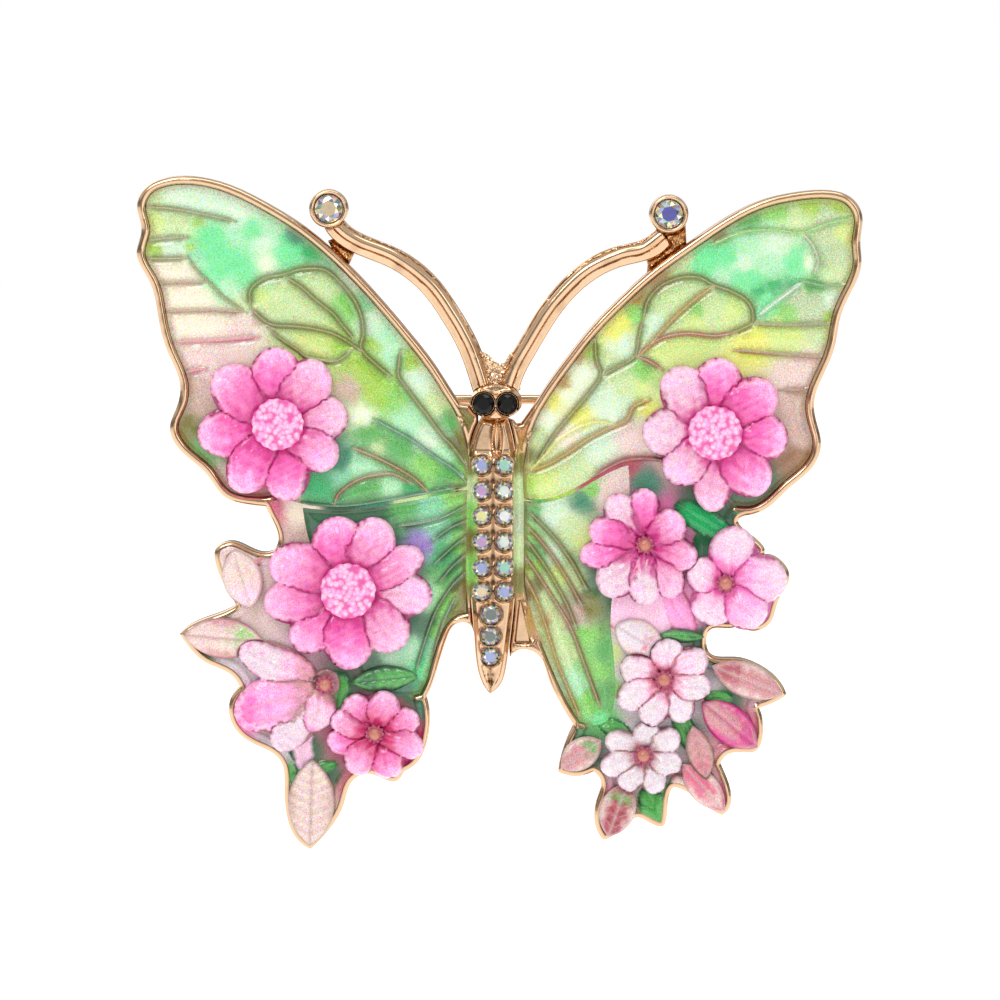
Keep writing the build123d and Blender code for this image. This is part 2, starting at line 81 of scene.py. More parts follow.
def printed(colours):
    """Paint of the casting's enamelled parts: the colours, with no share of metal."""
    return np.hstack((colours, np.zeros((len(colours), 1))))


def smooth(value, low, high):
    """0 below low, 1 above high, and a smooth step between them."""
    t = np.clip((value - low) / (high - low), 0, 1)
    return t * t * (3 - 2 * t)


def mix(a, b, share):
    """Colour a turned toward colour b by a share for each point."""
    return a + (b - a) * np.asarray(share)[..., None]


def ripple(points, scale, seed=0.0):
    """Soft waviness between -1 and 1, from a few crossed sines."""
    x, z = points[:, 0] / scale, points[:, 1] / scale
    first = np.sin(2.1 * x + 1.3 * z + seed) * np.cos(1.7 * z - 0.6 * x + 2.0 * seed)
    second = np.sin(3.9 * x - 2.7 * z + 1.7 + seed) * np.sin(3.1 * z + 1.1 * x + seed)
    return 0.6 * first + 0.4 * second


# ---------------------------------------------------------------- outlines and distances

def front_loops(node, height):
    """Outlines, as arrays of (x, z), of a CAD node's faces at a height. Solid lies to the left of travel."""
    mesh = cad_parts[node].data
    corners = np.empty(len(mesh.vertices) * 3, np.float32)
    mesh.vertices.foreach_get("co", corners)
    corners = corners.reshape(-1, 3) / MM
    level = np.abs(corners[:, 1] + height) < 0.01
    merge = 0.002
    keys = np.round(corners[:, (0, 2)] / merge).astype(int)
    edges = set()
    for face in mesh.polygons:
        if all(level[v] for v in face.vertices):
            ring = [tuple(keys[v]) for v in face.vertices]
            for a, b in zip(ring, ring[1:] + ring[:1]):
                if (b, a) in edges:
                    edges.discard((b, a))
                elif a != b:
                    edges.add((a, b))
    following = {}
    for a, b in sorted(edges):
        following.setdefault(a, []).append(b)
    loops = []
    while following:
        start = here = min(following)
        loop = []
        while True:
            loop.append(here)
            after = following[here].pop()
            if not following[here]:
                del following[here]
            here = after
            if here == start or here not in following:
                break
        loops.append(np.array(loop) * merge)
    return [loop for loop in loops if abs(area(loop)) > 0.3]


def area(loop):
    x, z = loop[:, 0], loop[:, 1]
    return 0.5 * np.sum(x * np.roll(z, -1) - z * np.roll(x, -1))


def resampled(loop, spacing, closed=True):
    """The same line with points no further apart than the spacing."""
    ends = np.roll(loop, -1, 0) if closed else np.vstack((loop[1:], loop[-1:]))
    pieces = []
    for a, b in zip(loop, ends):
        count = max(1, int(np.ceil(hypot(*(b - a)) / spacing)))
        pieces.append(a + (b - a) * (np.arange(count) / count)[:, None])
    return np.concatenate(pieces)


def curve(points, spacing=0.05):
    """A smooth line through a few points."""
    points = np.array(points, float)
    padded = np.vstack((2 * points[0] - points[1], points, 2 * points[-1] - points[-2]))
    runs = []
    for p0, p1, p2, p3 in zip(padded, padded[1:], padded[2:], padded[3:]):
        count = max(2, int(hypot(*(p2 - p1)) / spacing))
        t = (np.arange(count) / count)[:, None]
        runs.append(0.5 * (2 * p1 + (p2 - p0) * t + (2 * p0 - 5 * p1 + 4 * p2 - p3) * t ** 2
                           + (3 * p1 - p0 - 3 * p2 + p3) * t ** 3))
    runs.append(points[-1:])
    return np.concatenate(runs)


def nearest(line, points):
    """Distance from each point to a dense line of points, and which point of the line is nearest."""
    tree = kdtree.KDTree(len(line))
    for index, (x, z) in enumerate(line):
        tree.insert((x, z, 0), index)
    tree.balance()
    found = [tree.find((x, z, 0)) for x, z in points]
    return np.array([f[2] for f in found]), np.array([f[1] for f in found])


def lengthwise(points, start, end, half_width):
    """Each point's place along a line, 0 to 1, and beside it, 0 on the line and 1 a half width away."""
    reach = np.subtract(end, start)
    length = hypot(*reach)
    offset = points - start
    return offset @ reach / length ** 2, offset @ (-reach[1], reach[0]) / length / half_width


def circle(count, radius, shift=0.0):
    """Points (x, z) around the origin. The radius may differ from point to point."""
    turn = np.arange(count) * 2 * pi / count + shift
    return np.asarray(radius)[..., None] * np.stack((np.cos(turn), np.sin(turn)), 1)


def inside(points, loops):
    """Which points lie inside the loops, holes taken out."""
    a = np.concatenate(loops)
    b = np.concatenate([np.roll(loop, -1, 0) for loop in loops])
    level = a[:, 1] == b[:, 1]
    a, b = a[~level], b[~level]
    result = np.zeros(len(points), bool)
    for start in range(0, len(points), 2000):
        x, z = points[start:start + 2000, 0, None], points[start:start + 2000, 1, None]
        crosses = (a[:, 1] > z) != (b[:, 1] > z)
        at = a[:, 0] + (z - a[:, 1]) * (b[:, 0] - a[:, 0]) / (b[:, 1] - a[:, 1])
        result[start:start + 2000] = (crosses & (x < at)).sum(1) % 2 == 1
    return result


def grid_points(loops, spacing):
    """A staggered grid over the loops' box."""
    corners = np.concatenate(loops)
    low, high = corners.min(0), corners.max(0)
    columns = np.arange(low[0], high[0] + spacing, spacing)
    rows = np.arange(low[1], high[1] + spacing, spacing * 0.87)
    x, z = np.meshgrid(columns, rows)
    x[1::2] += spacing / 2
    return np.stack((x.ravel(), z.ravel()), 1)


def triangles(points, loops):
    """Triangles between the points, inside the loops. The loops' own points come first."""
    segments, start = [], 0
    for loop in loops:
        count = len(loop)
        segments += [(start + i, start + (i + 1) % count) for i in range(count)]
        start += count
    result = delaunay_2d_cdt([Vector(p) for p in points.tolist()], segments, [], 0, 1e-7, False)
    if len(result[0]) != len(points):
        raise RuntimeError("two points of an outline fall together")
    faces = np.array(result[2])
    on_edge = (faces < start).all(1)
    middles = points[faces[on_edge]].mean(1)
    keep = np.ones(len(faces), bool)
    keep[on_edge] = inside(middles, loops)
    return faces[keep]


# ---------------------------------------------------------------- meshes

class Mesh:
    """Points, faces and paint of one piece, gathered part by part."""

    def __init__(self):
        self.points, self.faces, self.paint, self.count = [], [], [], 0

    def add(self, points, faces, paint):
        """Add a part: points (x, y, z) in mm, faces as index lists, and a colour for each point."""
        self.points.append(np.asarray(points, float))
        self.faces += [[self.count + int(v) for v in face] for face in faces]
        paint = np.asarray(paint, float)
        if paint.ndim == 1:
            paint = np.tile(paint, (len(points), 1))
        if paint.shape[1] == 3:
            paint = np.hstack((paint, np.zeros((len(paint), 1))))
        self.paint.append(paint)
        self.count += len(points)

    def piece(self, name, material, slot, *nodes, sharp=42):
        """Make the object, on the brooch's body, in place of its CAD nodes."""
        mesh = bpy.data.meshes.new(name)
        mesh.from_pydata((np.concatenate(self.points) * MM).tolist(), [], self.faces)
        mesh.update()
        colours = mesh.attributes.new("paint", "FLOAT_COLOR", "POINT")
        colours.data.foreach_set("color", np.concatenate(self.paint).astype(np.float32).ravel())
        mesh.shade_smooth()
        mesh.set_sharp_from_angle(angle=radians(sharp))
        thing = bpy.data.objects.new(name, mesh)
        bpy.context.scene.collection.objects.link(thing)
        thing.data.materials.append(material)
        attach(thing, "brooch")
        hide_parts(*nodes)
        return thing


def standing(points, height):
    """Points (x, z) and their heights as (x, y, z)."""
    return np.stack((points[:, 0], -np.broadcast_to(height, len(points)), points[:, 1]), 1)


def rows_beside(line, offsets):
    """Rows of points along a line and beside it, where they come nearer to no other part of the line."""
    along = np.gradient(line, axis=0)
    along /= np.linalg.norm(along, axis=1)[:, None] + 1e-9
    across = np.stack((-along[:, 1], along[:, 0]), 1)
    rows = [line] + [line + across * offset for offset in offsets]
    kept = [rows[0]] + [row[nearest(line, row)[0] > abs(o) * 0.9] for row, o in zip(rows[1:], offsets)]
    return np.concatenate(kept)


def relief(mesh, loops, height, paint, back, spacing=0.14, rings=(0.07, 0.17), sink=None, marks=(), rows=None,
           under=None):
    """Add a closed part: a modelled front over the loops, side walls, and a flat back.

    height(points, distance) and paint(points, distance) read each point's distance to the outline.
    Holes go through to the back, or are closed at the level sink. Marks are round dents in the back.
    Rows are more points for the front, where it has fine lines. Under is the paint of the walls' feet
    and the back, where it differs from the outline's.
    """
    loops = [resampled(loop, spacing) for loop in loops]
    outline = np.concatenate(loops)
    dense = np.concatenate([resampled(loop, 0.03) for loop in loops])
    normals = []
    for loop in loops:
        along = np.roll(loop, -1, 0) - np.roll(loop, 1, 0)
        along /= np.linalg.norm(along, axis=1)[:, None]
        normals.append(np.stack((-along[:, 1], along[:, 0]), 1))
    normals = np.concatenate(normals)
    extra = []
    for step in rings:
        ring = outline + normals * step
        ring = ring[inside(ring, loops)]
        extra.append(ring[nearest(dense, ring)[0] > step * 0.93])
    grid = grid_points(loops, spacing)
    grid = grid[inside(grid, loops)]
    margin = (rings[-1] if rings else 0) + spacing * 0.55
    grid = grid[nearest(dense, grid)[0] > margin]
    if rows is not None:
        rows = rows[inside(rows, loops)]
        rows = rows[nearest(dense, rows)[0] > 0.2]
        rows = rows[np.unique(np.round(rows / 0.06), axis=0, return_index=True)[1]]
        grid = grid[nearest(rows, grid)[0] > spacing * 0.6]
        extra.append(rows)
    points = np.concatenate((outline, *extra, grid))
    faces = triangles(points, loops)
    distance = nearest(dense, points)[0]
    distance[:len(outline)] = 0
    heights = height(points, distance)
    colours = paint(points, distance) if callable(paint) else np.tile(paint, (len(points), 1))
    if colours.shape[1] == 3:
        colours = np.hstack((colours, np.zeros((len(colours), 1))))

    # The foot of each wall, then the faces that close the holes and the back
    outer = [area(loop) > 0 for loop in loops]
    foot = np.concatenate([np.full(len(loop), back if out or sink is None else sink)
                           for loop, out in zip(loops, outer)])
    total = len(points)
    all_faces = faces.tolist()
    start = 0
    for loop in loops:
        count = len(loop)
        for i in range(count):
            a, b = start + i, start + (i + 1) % count
            all_faces.append([a, total + a, total + b, b])
        start += count
    all_points = [standing(points, heights), standing(outline, foot)]
    below = colours[:len(outline)] if under is None else np.tile(under, (len(outline), 1))
    all_colours = [colours, below]

    starts = np.cumsum([0] + [len(loop) for loop in loops])
    closing = [(index, loop) for index, (loop, out) in enumerate(zip(loops, outer)) if out or sink is None]
    ring = np.concatenate([loop for _, loop in closing])
    index_of = np.concatenate([total + starts[i] + np.arange(len(loop)) for i, loop in closing])
    ring_loops = [loop for _, loop in closing]
    dents = []
    for x, z in marks:
        for radius in (MARK_RADIUS, MARK_RADIUS - 0.08, 0.3):
            dent = np.array((x, z)) + circle(28, radius)
            dents.append(dent[inside(dent, ring_loops)])
    if dents:
        inner = np.concatenate(dents)
        back_faces = triangles(np.concatenate((ring, inner)), ring_loops)
        centres = np.array(marks)
        away = np.linalg.norm(inner[:, None] - centres[None], axis=2).min(1)
        all_points.append(standing(inner, np.where(away < MARK_RADIUS - 0.05, back + MARK_DEPTH, back)))
        all_colours.append(np.tile(below[0], (len(inner), 1)))
        index_of = np.concatenate((index_of, total + len(outline) + np.arange(len(inner))))
    else:
        back_faces = triangles(ring, ring_loops)
    all_faces += index_of[back_faces[:, ::-1]].tolist()
    if sink is not None:
        for index, (loop, out) in enumerate(zip(loops, outer)):
            if not out:
                floor = triangles(loop[::-1], [loop[::-1]])
                backwards = len(loop) - 1 - floor
                all_faces += (total + starts[index] + backwards).tolist()
    mesh.add(np.concatenate(all_points), all_faces, np.concatenate(all_colours))


# ---------------------------------------------------------------- materials

def nodes_of(name):
    """A new material, its node tree, and its main shader."""
    material = bpy.data.materials.new(name)
    material.use_nodes = True
    tree = material.node_tree
    return material, tree, tree.nodes["Principled BSDF"]


def add_node(tree, kind, **values):
    node = tree.nodes.new(kind)
    for key, value in values.items():
        if key in node.inputs:
            node.inputs[key].default_value = value
        else:
            setattr(node, key, value)
    return node


def noise(tree, size, detail=2.0):
    """Noise with features of a size in mm, fixed to the piece."""
    place = add_node(tree, "ShaderNodeTexCoord")
    texture = add_node(tree, "ShaderNodeTexNoise", Scale=1 / (size * MM), Detail=detail)
    tree.links.new(place.outputs["Object"], texture.inputs["Vector"])
    return texture


def cloudy(tree, size, low, high):
    """Noise with features of a size in mm, scaled to a range, as a socket."""
    level = add_node(tree, "ShaderNodeMapRange", **{"To Min": low, "To Max": high})
    tree.links.new(noise(tree, size).outputs["Fac"], level.inputs["Value"])
    return level.outputs["Result"]


def product(tree, shade):
    """A node that multiplies its first colour, input 6, by a shade from a socket."""
    node = add_node(tree, "ShaderNodeMix", data_type="RGBA", blend_type="MULTIPLY")
    node.inputs["Factor"].default_value = 1.0
    tree.links.new(shade, node.inputs[7])
    return node


def bump(tree, shader, texture, depth):
    """Relief of a depth in mm from a texture."""
    node = add_node(tree, "ShaderNodeBump", Strength=1.0, Distance=depth * MM)
    tree.links.new(texture.outputs["Fac"], node.inputs["Height"])
    tree.links.new(node.outputs["Normal"], shader.inputs["Normal"])


def speckled(tree, paint, grain):
    """The paint with a fine printed grain where its alpha is 0, as a colour socket."""
    speckle = noise(tree, 0.095, 1.0)
    contrast = add_node(tree, "ShaderNodeMapRange", data_type="FLOAT_VECTOR")
    contrast.inputs[7].default_value = (0.32, 0.32, 0.32)
    contrast.inputs[8].default_value = (0.68, 0.68, 0.68)
    share = add_node(tree, "ShaderNodeMapRange")
    share.inputs["To Min"].default_value = grain
    share.inputs["To Max"].default_value = 0.0
    blend = add_node(tree, "ShaderNodeMix", data_type="RGBA", blend_type="OVERLAY")
    tree.links.new(speckle.outputs["Color"], contrast.inputs[6])
    tree.links.new(paint.outputs["Alpha"], share.inputs["Value"])
    tree.links.new(share.outputs["Result"], blend.inputs["Factor"])
    tree.links.new(paint.outputs["Color"], blend.inputs[6])
    tree.links.new(contrast.outputs[1], blend.inputs[7])
    return blend.outputs[2]


def printed_material(name, grain=0.5, roughness=0.42, coat=1.0, wave=0.012):
    """Colour printed with a fine grain under clear gloss."""
    material, tree, shader = nodes_of(name)
    shader.inputs["Roughness"].default_value = roughness
    shader.inputs["Coat Weight"].default_value = coat
    shader.inputs["Coat Roughness"].default_value = 0.06
    shader.inputs["Specular IOR Level"].default_value = 0.35
    paint = add_node(tree, "ShaderNodeAttribute", attribute_name="paint")
    tree.links.new(speckled(tree, paint, grain), shader.inputs["Base Color"])
    bump(tree, shader, noise(tree, 1.1), wave)
    return material


def gilt_material(name, tint=None, roughness=0.14, wave=0.02):
    """Polished rose-gold plating. Paint gives its tint, and its alpha is 0 where enamel covers it."""
    material, tree, shader = nodes_of(name)
    tone = product(tree, cloudy(tree, 2.4, 0.86, 1.06))
    if tint is None:
        paint = add_node(tree, "ShaderNodeAttribute", attribute_name="paint")
        tree.links.new(speckled(tree, paint, 0.45), tone.inputs[6])
        tree.links.new(paint.outputs["Alpha"], shader.inputs["Metallic"])
    else:
        tone.inputs[6].default_value = (*linear(tint), 1)
        shader.inputs["Metallic"].default_value = 1.0
    tree.links.new(tone.outputs[2], shader.inputs["Base Color"])
    tree.links.new(cloudy(tree, 0.5, roughness * 0.7, roughness * 1.5), shader.inputs["Roughness"])
    bump(tree, shader, noise(tree, 1.6), wave)
    return material


def crystal_material(name, metallic, roughness=0.04, coat=1.0):
    """Cut glass with a foiled back: each facet has its own painted colour, a painted reflection."""
    material, tree, shader = nodes_of(name)
    shader.inputs["Roughness"].default_value = roughness
    shader.inputs["Metallic"].default_value = metallic
    shader.inputs["Specular IOR Level"].default_value = 0.5 * coat
    shader.inputs["Coat Weight"].default_value = coat
    shader.inputs["Coat Roughness"].default_value = 0.02
    paint = add_node(tree, "ShaderNodeAttribute", attribute_name="paint")
    tone = product(tree, cloudy(tree, 0.5, 0.75, 1.15))
    tree.links.new(paint.outputs["Color"], tone.inputs[6])
    tree.links.new(tone.outputs[2], shader.inputs["Base Color"])
    return material


GILT = gilt_material("gilt casting")
FINDING = gilt_material("gilt finding", tint="gold", roughness=0.2, wave=0.006)
WIRE = gilt_material("gilt wire", tint="gold", roughness=0.12, wave=0.004)
ENAMEL = printed_material("printed enamel", grain=0.5)
PETAL = printed_material("printed petal", grain=0.45, roughness=0.4, coat=0.8)
GRAIN = printed_material("granular middle", grain=0.3, roughness=0.5, coat=0.4, wave=0.004)
BEAD_GLOSS = printed_material("glossy bead", grain=0.1, roughness=0.2)
CRYSTAL = crystal_material("iridescent crystal", metallic=0.35)
JET = crystal_material("jet crystal", metallic=0.0, coat=0.2)


# ---------------------------------------------------------------- wing enamel

# Veins: points along each, its colour and its half width. Dabs of paint, by colour: (x, z, reach) of each.
LEFT_FORE_VEINS = (
    (((-28.9, 16.1), (-26.5, 15.9), (-23.4, 15.3), (-21.5, 14.9)), "olive", 0.22),
    (((-28.9, 13.3), (-27.0, 13.5), (-25.5, 13.6)), "olive", 0.22),
    (((-28.9, 11.8), (-27.0, 11.8), (-25.5, 11.9)), "olive", 0.25),
    (((-25.5, 11.9), (-24.8, 10.9), (-23.5, 9.6), (-22.3, 8.4), (-20.6, 7.3)), "olive", 0.14),
    (((-28.2, 9.8), (-26.0, 9.8), (-23.8, 9.9)), "brown", 0.2),
    (((-27.4, 7.4), (-24.0, 7.5), (-20.9, 7.4)), "brown", 0.2),
    (((-26.6, 4.9), (-22.5, 5.05), (-19.6, 5.3)), "rose", 0.2),
    (((-26.0, 2.3), (-24.0, 2.7)), "rose", 0.2),
    (((-20.3, 7.7), (-20.3, 9.2), (-19.2, 10.15), (-17.6, 10.5), (-16.0, 10.95), (-14.2, 10.9), (-12.9, 9.9),
      (-11.7, 8.4), (-11.1, 7.0), (-10.95, 5.6), (-11.1, 4.3), (-9.6, 2.8), (-8.6, 2.0)), "olive", 0.3),
    (((-20.3, 7.7), (-18.7, 6.4), (-16.7, 6.2), (-15.1, 6.0), (-13.5, 5.6), (-12.5, 5.1), (-11.0, 4.1)),
     "olive", 0.3),
    (((-17.4, 10.3), (-16.0, 9.4), (-14.9, 8.4), (-13.5, 7.3), (-12.7, 6.3), (-11.6, 5.0)), "olive", 0.28),
    (((-18.9, 6.1), (-17.6, 5.0), (-16.4, 4.2), (-15.4, 3.5), (-13.3, 3.3), (-11.8, 4.3)), "olive", 0.2),
    (((-7.85, 4.2), (-8.0, 3.1), (-8.0, 2.05), (-7.3, 1.0), (-5.7, -1.1), (-4.4, -2.85), (-3.5, -3.8),
      (-2.3, -5.5)), "olive", 0.26),
    (((-10.1, -1.45), (-8.8, -2.2), (-7.0, -3.2), (-4.9, -4.7), (-3.5, -5.6), (-2.4, -6.7)), "teal", 0.2),
    (((-11.8, -3.9), (-10.1, -4.6), (-8.1, -5.6), (-6.8, -6.4), (-5.6, -7.5)), "brown", 0.24),
    (((-13.4, -8.6), (-12.9, -7.6), (-11.4, -6.55), (-9.8, -6.15), (-8.4, -6.1),
    (-6.8, -6.9)), "brown", 0.22),
    (((-16.0, -8.5), (-13.8, -8.7), (-12.0, -8.7), (-9.0, -8.25), (-5.5, -7.6), (-2.4, -7.1)), "teal", 0.24),
)
LEFT_FORE_DABS = {
    "mist": ((-26.5, 17.2, 1.0), (-24.5, 16.6, 1.5), (-21.5, 15.8, 1.6), (-26.7, 12.7, 0.9),
        (-19.2, 12.8, 0.9),
        (-12.0, 10.0, 0.8), (-10.2, 6.4, 0.7), (-6.5, 1.6, 1.0), (-5.6, -3.2, 1.0)),
    "sage": ((-28.2, 17.0, 0.8), (-26.2, 14.7, 1.1), (-21.2, 8.2, 0.9), (-17.5, 8.3, 1.3), (-15.6, 7.4, 1.2),
        (-14.6, 9.7, 1.2), (-17.6, 5.6, 0.6), (-5.0, -0.2, 1.0), (-9.8, -3.9, 0.6)),
    "pale_lime": ((-28.2, 14.8, 0.7), (-19.4, 8.6, 0.6), (-15.0, 4.8, 1.3)),
    "lime": ((-24.7, 14.9, 0.5), (-28.2, 12.6, 0.6), (-25.2, 12.7, 0.5), (-12.9, 4.2, 0.7), (-10.2, 4.6, 0.5),
        (-6.9, 3.4, 0.7), (-10.6, 2.3, 1.2), (-9.6, 0.6, 1.2)),
    "emerald": ((-23.6, 13.4, 1.4), (-22.0, 11.6, 1.6), (-20.3, 14.2, 0.9), (-17.3, 12.3, 1.1),
        (-23.2, 10.6, 1.0),
        (-20.9, 10.4, 0.9)),
    "aqua": ((-24.9, 12.2, 0.7), (-13.6, 11.4, 0.7), (-10.3, 8.6, 0.7), (-12.6, -6.4, 0.7)),
    "mint": ((-21.4, 13.3, 0.8), (-18.6, 14.9, 0.9), (-22.0, 9.3, 1.2), (-9.0, 5.6, 1.0), (-8.6, 3.6, 0.8),
        (-7.2, -1.6, 1.2), (-4.2, -4.4, 0.7), (-11.0, -5.4, 1.0), (-8.6, -7.2, 0.9)),
    # The white dab at (-11.0, -1.2) is painted highlight: the light on the edge of the daisy petal beside it.
    "white": ((-19.0, 11.3, 0.7), (-11.0, -1.2, 0.8)),
    "teal": ((-16.5, 13.6, 0.8), (-12.8, -4.8, 0.9)),
    "deep_emerald": ((-15.2, 12.3, 0.7), (-14.8, -7.6, 1.1), (-7.1, -7.2, 0.7)),
    "cream": ((-26.2, 10.8, 1.2), (-27.8, 10.8, 0.6), (-25.2, 8.7, 1.4), (-27.2, 8.6, 0.6), (-24.0, 6.3, 1.6),
        (-26.7, 6.2, 0.6)),
    "pale_rose": ((-21.3, 6.3, 1.2), (-23.5, 3.9, 1.6), (-25.8, 3.6, 0.7)),
    "mauve": ((-25.0, 0.5, 1.2), (-22.5, -6.8, 1.2), (-17.4, -8.2, 0.8), (-12.0, 1.0, 0.8)),
    "olive": ((-26.0, -2.5, 1.2), (-3.0, -3.4, 0.7)),
    "green": ((-24.5, -4.5, 1.2), (-3.7, -1.6, 0.8), (-10.4, -2.9, 1.0), (-8.0, -3.9, 1.2), (-4.0, -6.4, 1.0),
        (-10.6, -7.4, 1.1)),
    "maroon": ((-19.8, -7.8, 1.0),),
    "spring": ((-12.6, 7.9, 0.9), (-8.4, 0.2, 1.1), (-5.8, -5.5, 1.1), (-2.8, -6.4, 0.8)),
}
LEFT_HIND_VEINS = (
    (((-2.4, -8.6), (-4.2, -9.6), (-6.4, -10.2), (-8.0, -10.4)), "forest", 0.2),
    (((-2.4, -9.9), (-3.8, -10.6), (-5.2, -11.6)), "forest", 0.26),
    (((-2.4, -11.2), (-3.6, -12.2), (-5.0, -13.5)), "forest", 0.26),
    (((-2.4, -12.7), (-3.4, -13.6), (-4.6, -15.0)), "forest", 0.24),
    (((-2.5, -14.2), (-3.6, -15.4), (-4.9, -17.4), (-5.8, -19.8), (-6.6, -22.4)), "forest", 0.2),
    (((-3.4, -16.4), (-4.3, -18.4), (-4.9, -20.4), (-5.4, -23.0)), "teal", 0.16),
)
LEFT_HIND_DABS = {
    "spring": ((-3.2, -8.4, 0.9), (-3.0, -11.8, 0.7), (-4.2, -16.9, 0.8), (-4.6, -19.4, 0.7)),
    "aqua": ((-5.4, -9.0, 1.0), (-4.8, -10.8, 0.8), (-5.5, -20.6, 0.9)),
    "green": ((-7.6, -9.2, 1.0), (-3.0, -10.0, 0.6), (-3.0, -13.6, 0.6), (-4.0, -14.6, 0.8)),
    "forest": ((-10.0, -9.4, 1.0), (-6.4, -18.6, 1.0), (-9.6, -22.6, 1.0), (-12.0, -12.0, 3.0)),
    "violet": ((-6.2, -11.8, 0.8),),
    "deep_emerald": ((-4.4, -12.8, 0.7), (-6.4, -24.0, 0.7)),
    "olive": ((-2.9, -15.6, 0.7), (-3.0, -17.2, 0.8)),
    "mint": ((-5.6, -16.4, 0.8), (-6.9, -20.6, 0.8), (-8.4, -21.6, 0.8)),
    "emerald": ((-6.1, -22.4, 0.9),),
    "teal": ((-7.4, -23.8, 0.9),),
}
RIGHT_FORE_VEINS = (
    (((29.6, 15.2), (27.6, 14.7), (25.4, 14.0), (23.0, 14.2), (20.5, 14.0), (18.0, 13.0)), "spring", 0.16),
    (((25.4, 14.0), (26.3, 13.0), (26.8, 11.7), (26.5, 10.7)), "grey_sage", 0.26),
    (((12.3, 6.9), (12.7, 8.4), (13.8, 9.6), (15.4, 10.25), (16.9, 10.25), (18.2, 9.6), (19.6, 9.1),
    (20.8, 8.4),
      (21.35, 7.5), (21.3, 6.5), (20.5, 6.0), (19.0, 5.4)), "olive", 0.3),
    (((18.2, 9.6), (16.8, 8.6), (15.4, 7.4), (14.0, 6.0), (12.8, 4.6), (11.8, 3.7)), "ochre", 0.28),
    (((12.3, 6.9), (11.95, 5.4), (11.8, 4.3), (11.5, 3.6), (10.3, 2.9), (8.75, 2.1)), "olive", 0.26),
    (((11.8, 3.7), (13.0, 4.75), (14.2, 5.35), (16.0, 5.6), (18.2, 5.4), (20.0, 5.7)), "maroon", 0.26),
    (((11.8, 3.7), (12.8, 3.3), (13.9, 2.6)), "maroon", 0.26),
    (((21.3, 6.4), (24.0, 6.3), (27.9, 6.4)), "olive", 0.2),
    (((19.8, 4.2), (23.5, 3.9), (27.4, 3.6)), "brown", 0.2),
    (((23.6, 0.9), (25.0, 0.9), (26.0, 1.0)), "brown", 0.2),
    (((25.4, 10.0), (27.2, 9.6), (29.0, 9.6)), "green", 0.18),
    (((22.0, 7.2), (23.4, 8.3), (25.4, 9.8)), "mist", 0.2),
    (((8.3, 5.2), (8.4, 3.5), (8.75, 2.1), (7.65, 0.5), (6.3, -1.1), (4.85, -2.9),
    (3.4, -5.2)), "olive", 0.28),
    (((12.8, 0.1), (11.5, -0.5), (10.9, -1.6), (9.35, -2.3), (7.65, -3.2), (6.05, -4.3), (4.5, -5.2),
      (2.6, -5.9)), "ochre", 0.3),
    (((9.9, -1.9), (8.0, -1.8), (5.6, -3.0), (4.2, -4.4), (3.0, -5.7)), "yellow", 0.14),
    (((14.0, -4.9), (12.2, -4.8), (10.6, -5.0), (9.35, -5.6), (8.1, -6.4)), "maroon", 0.34),
)
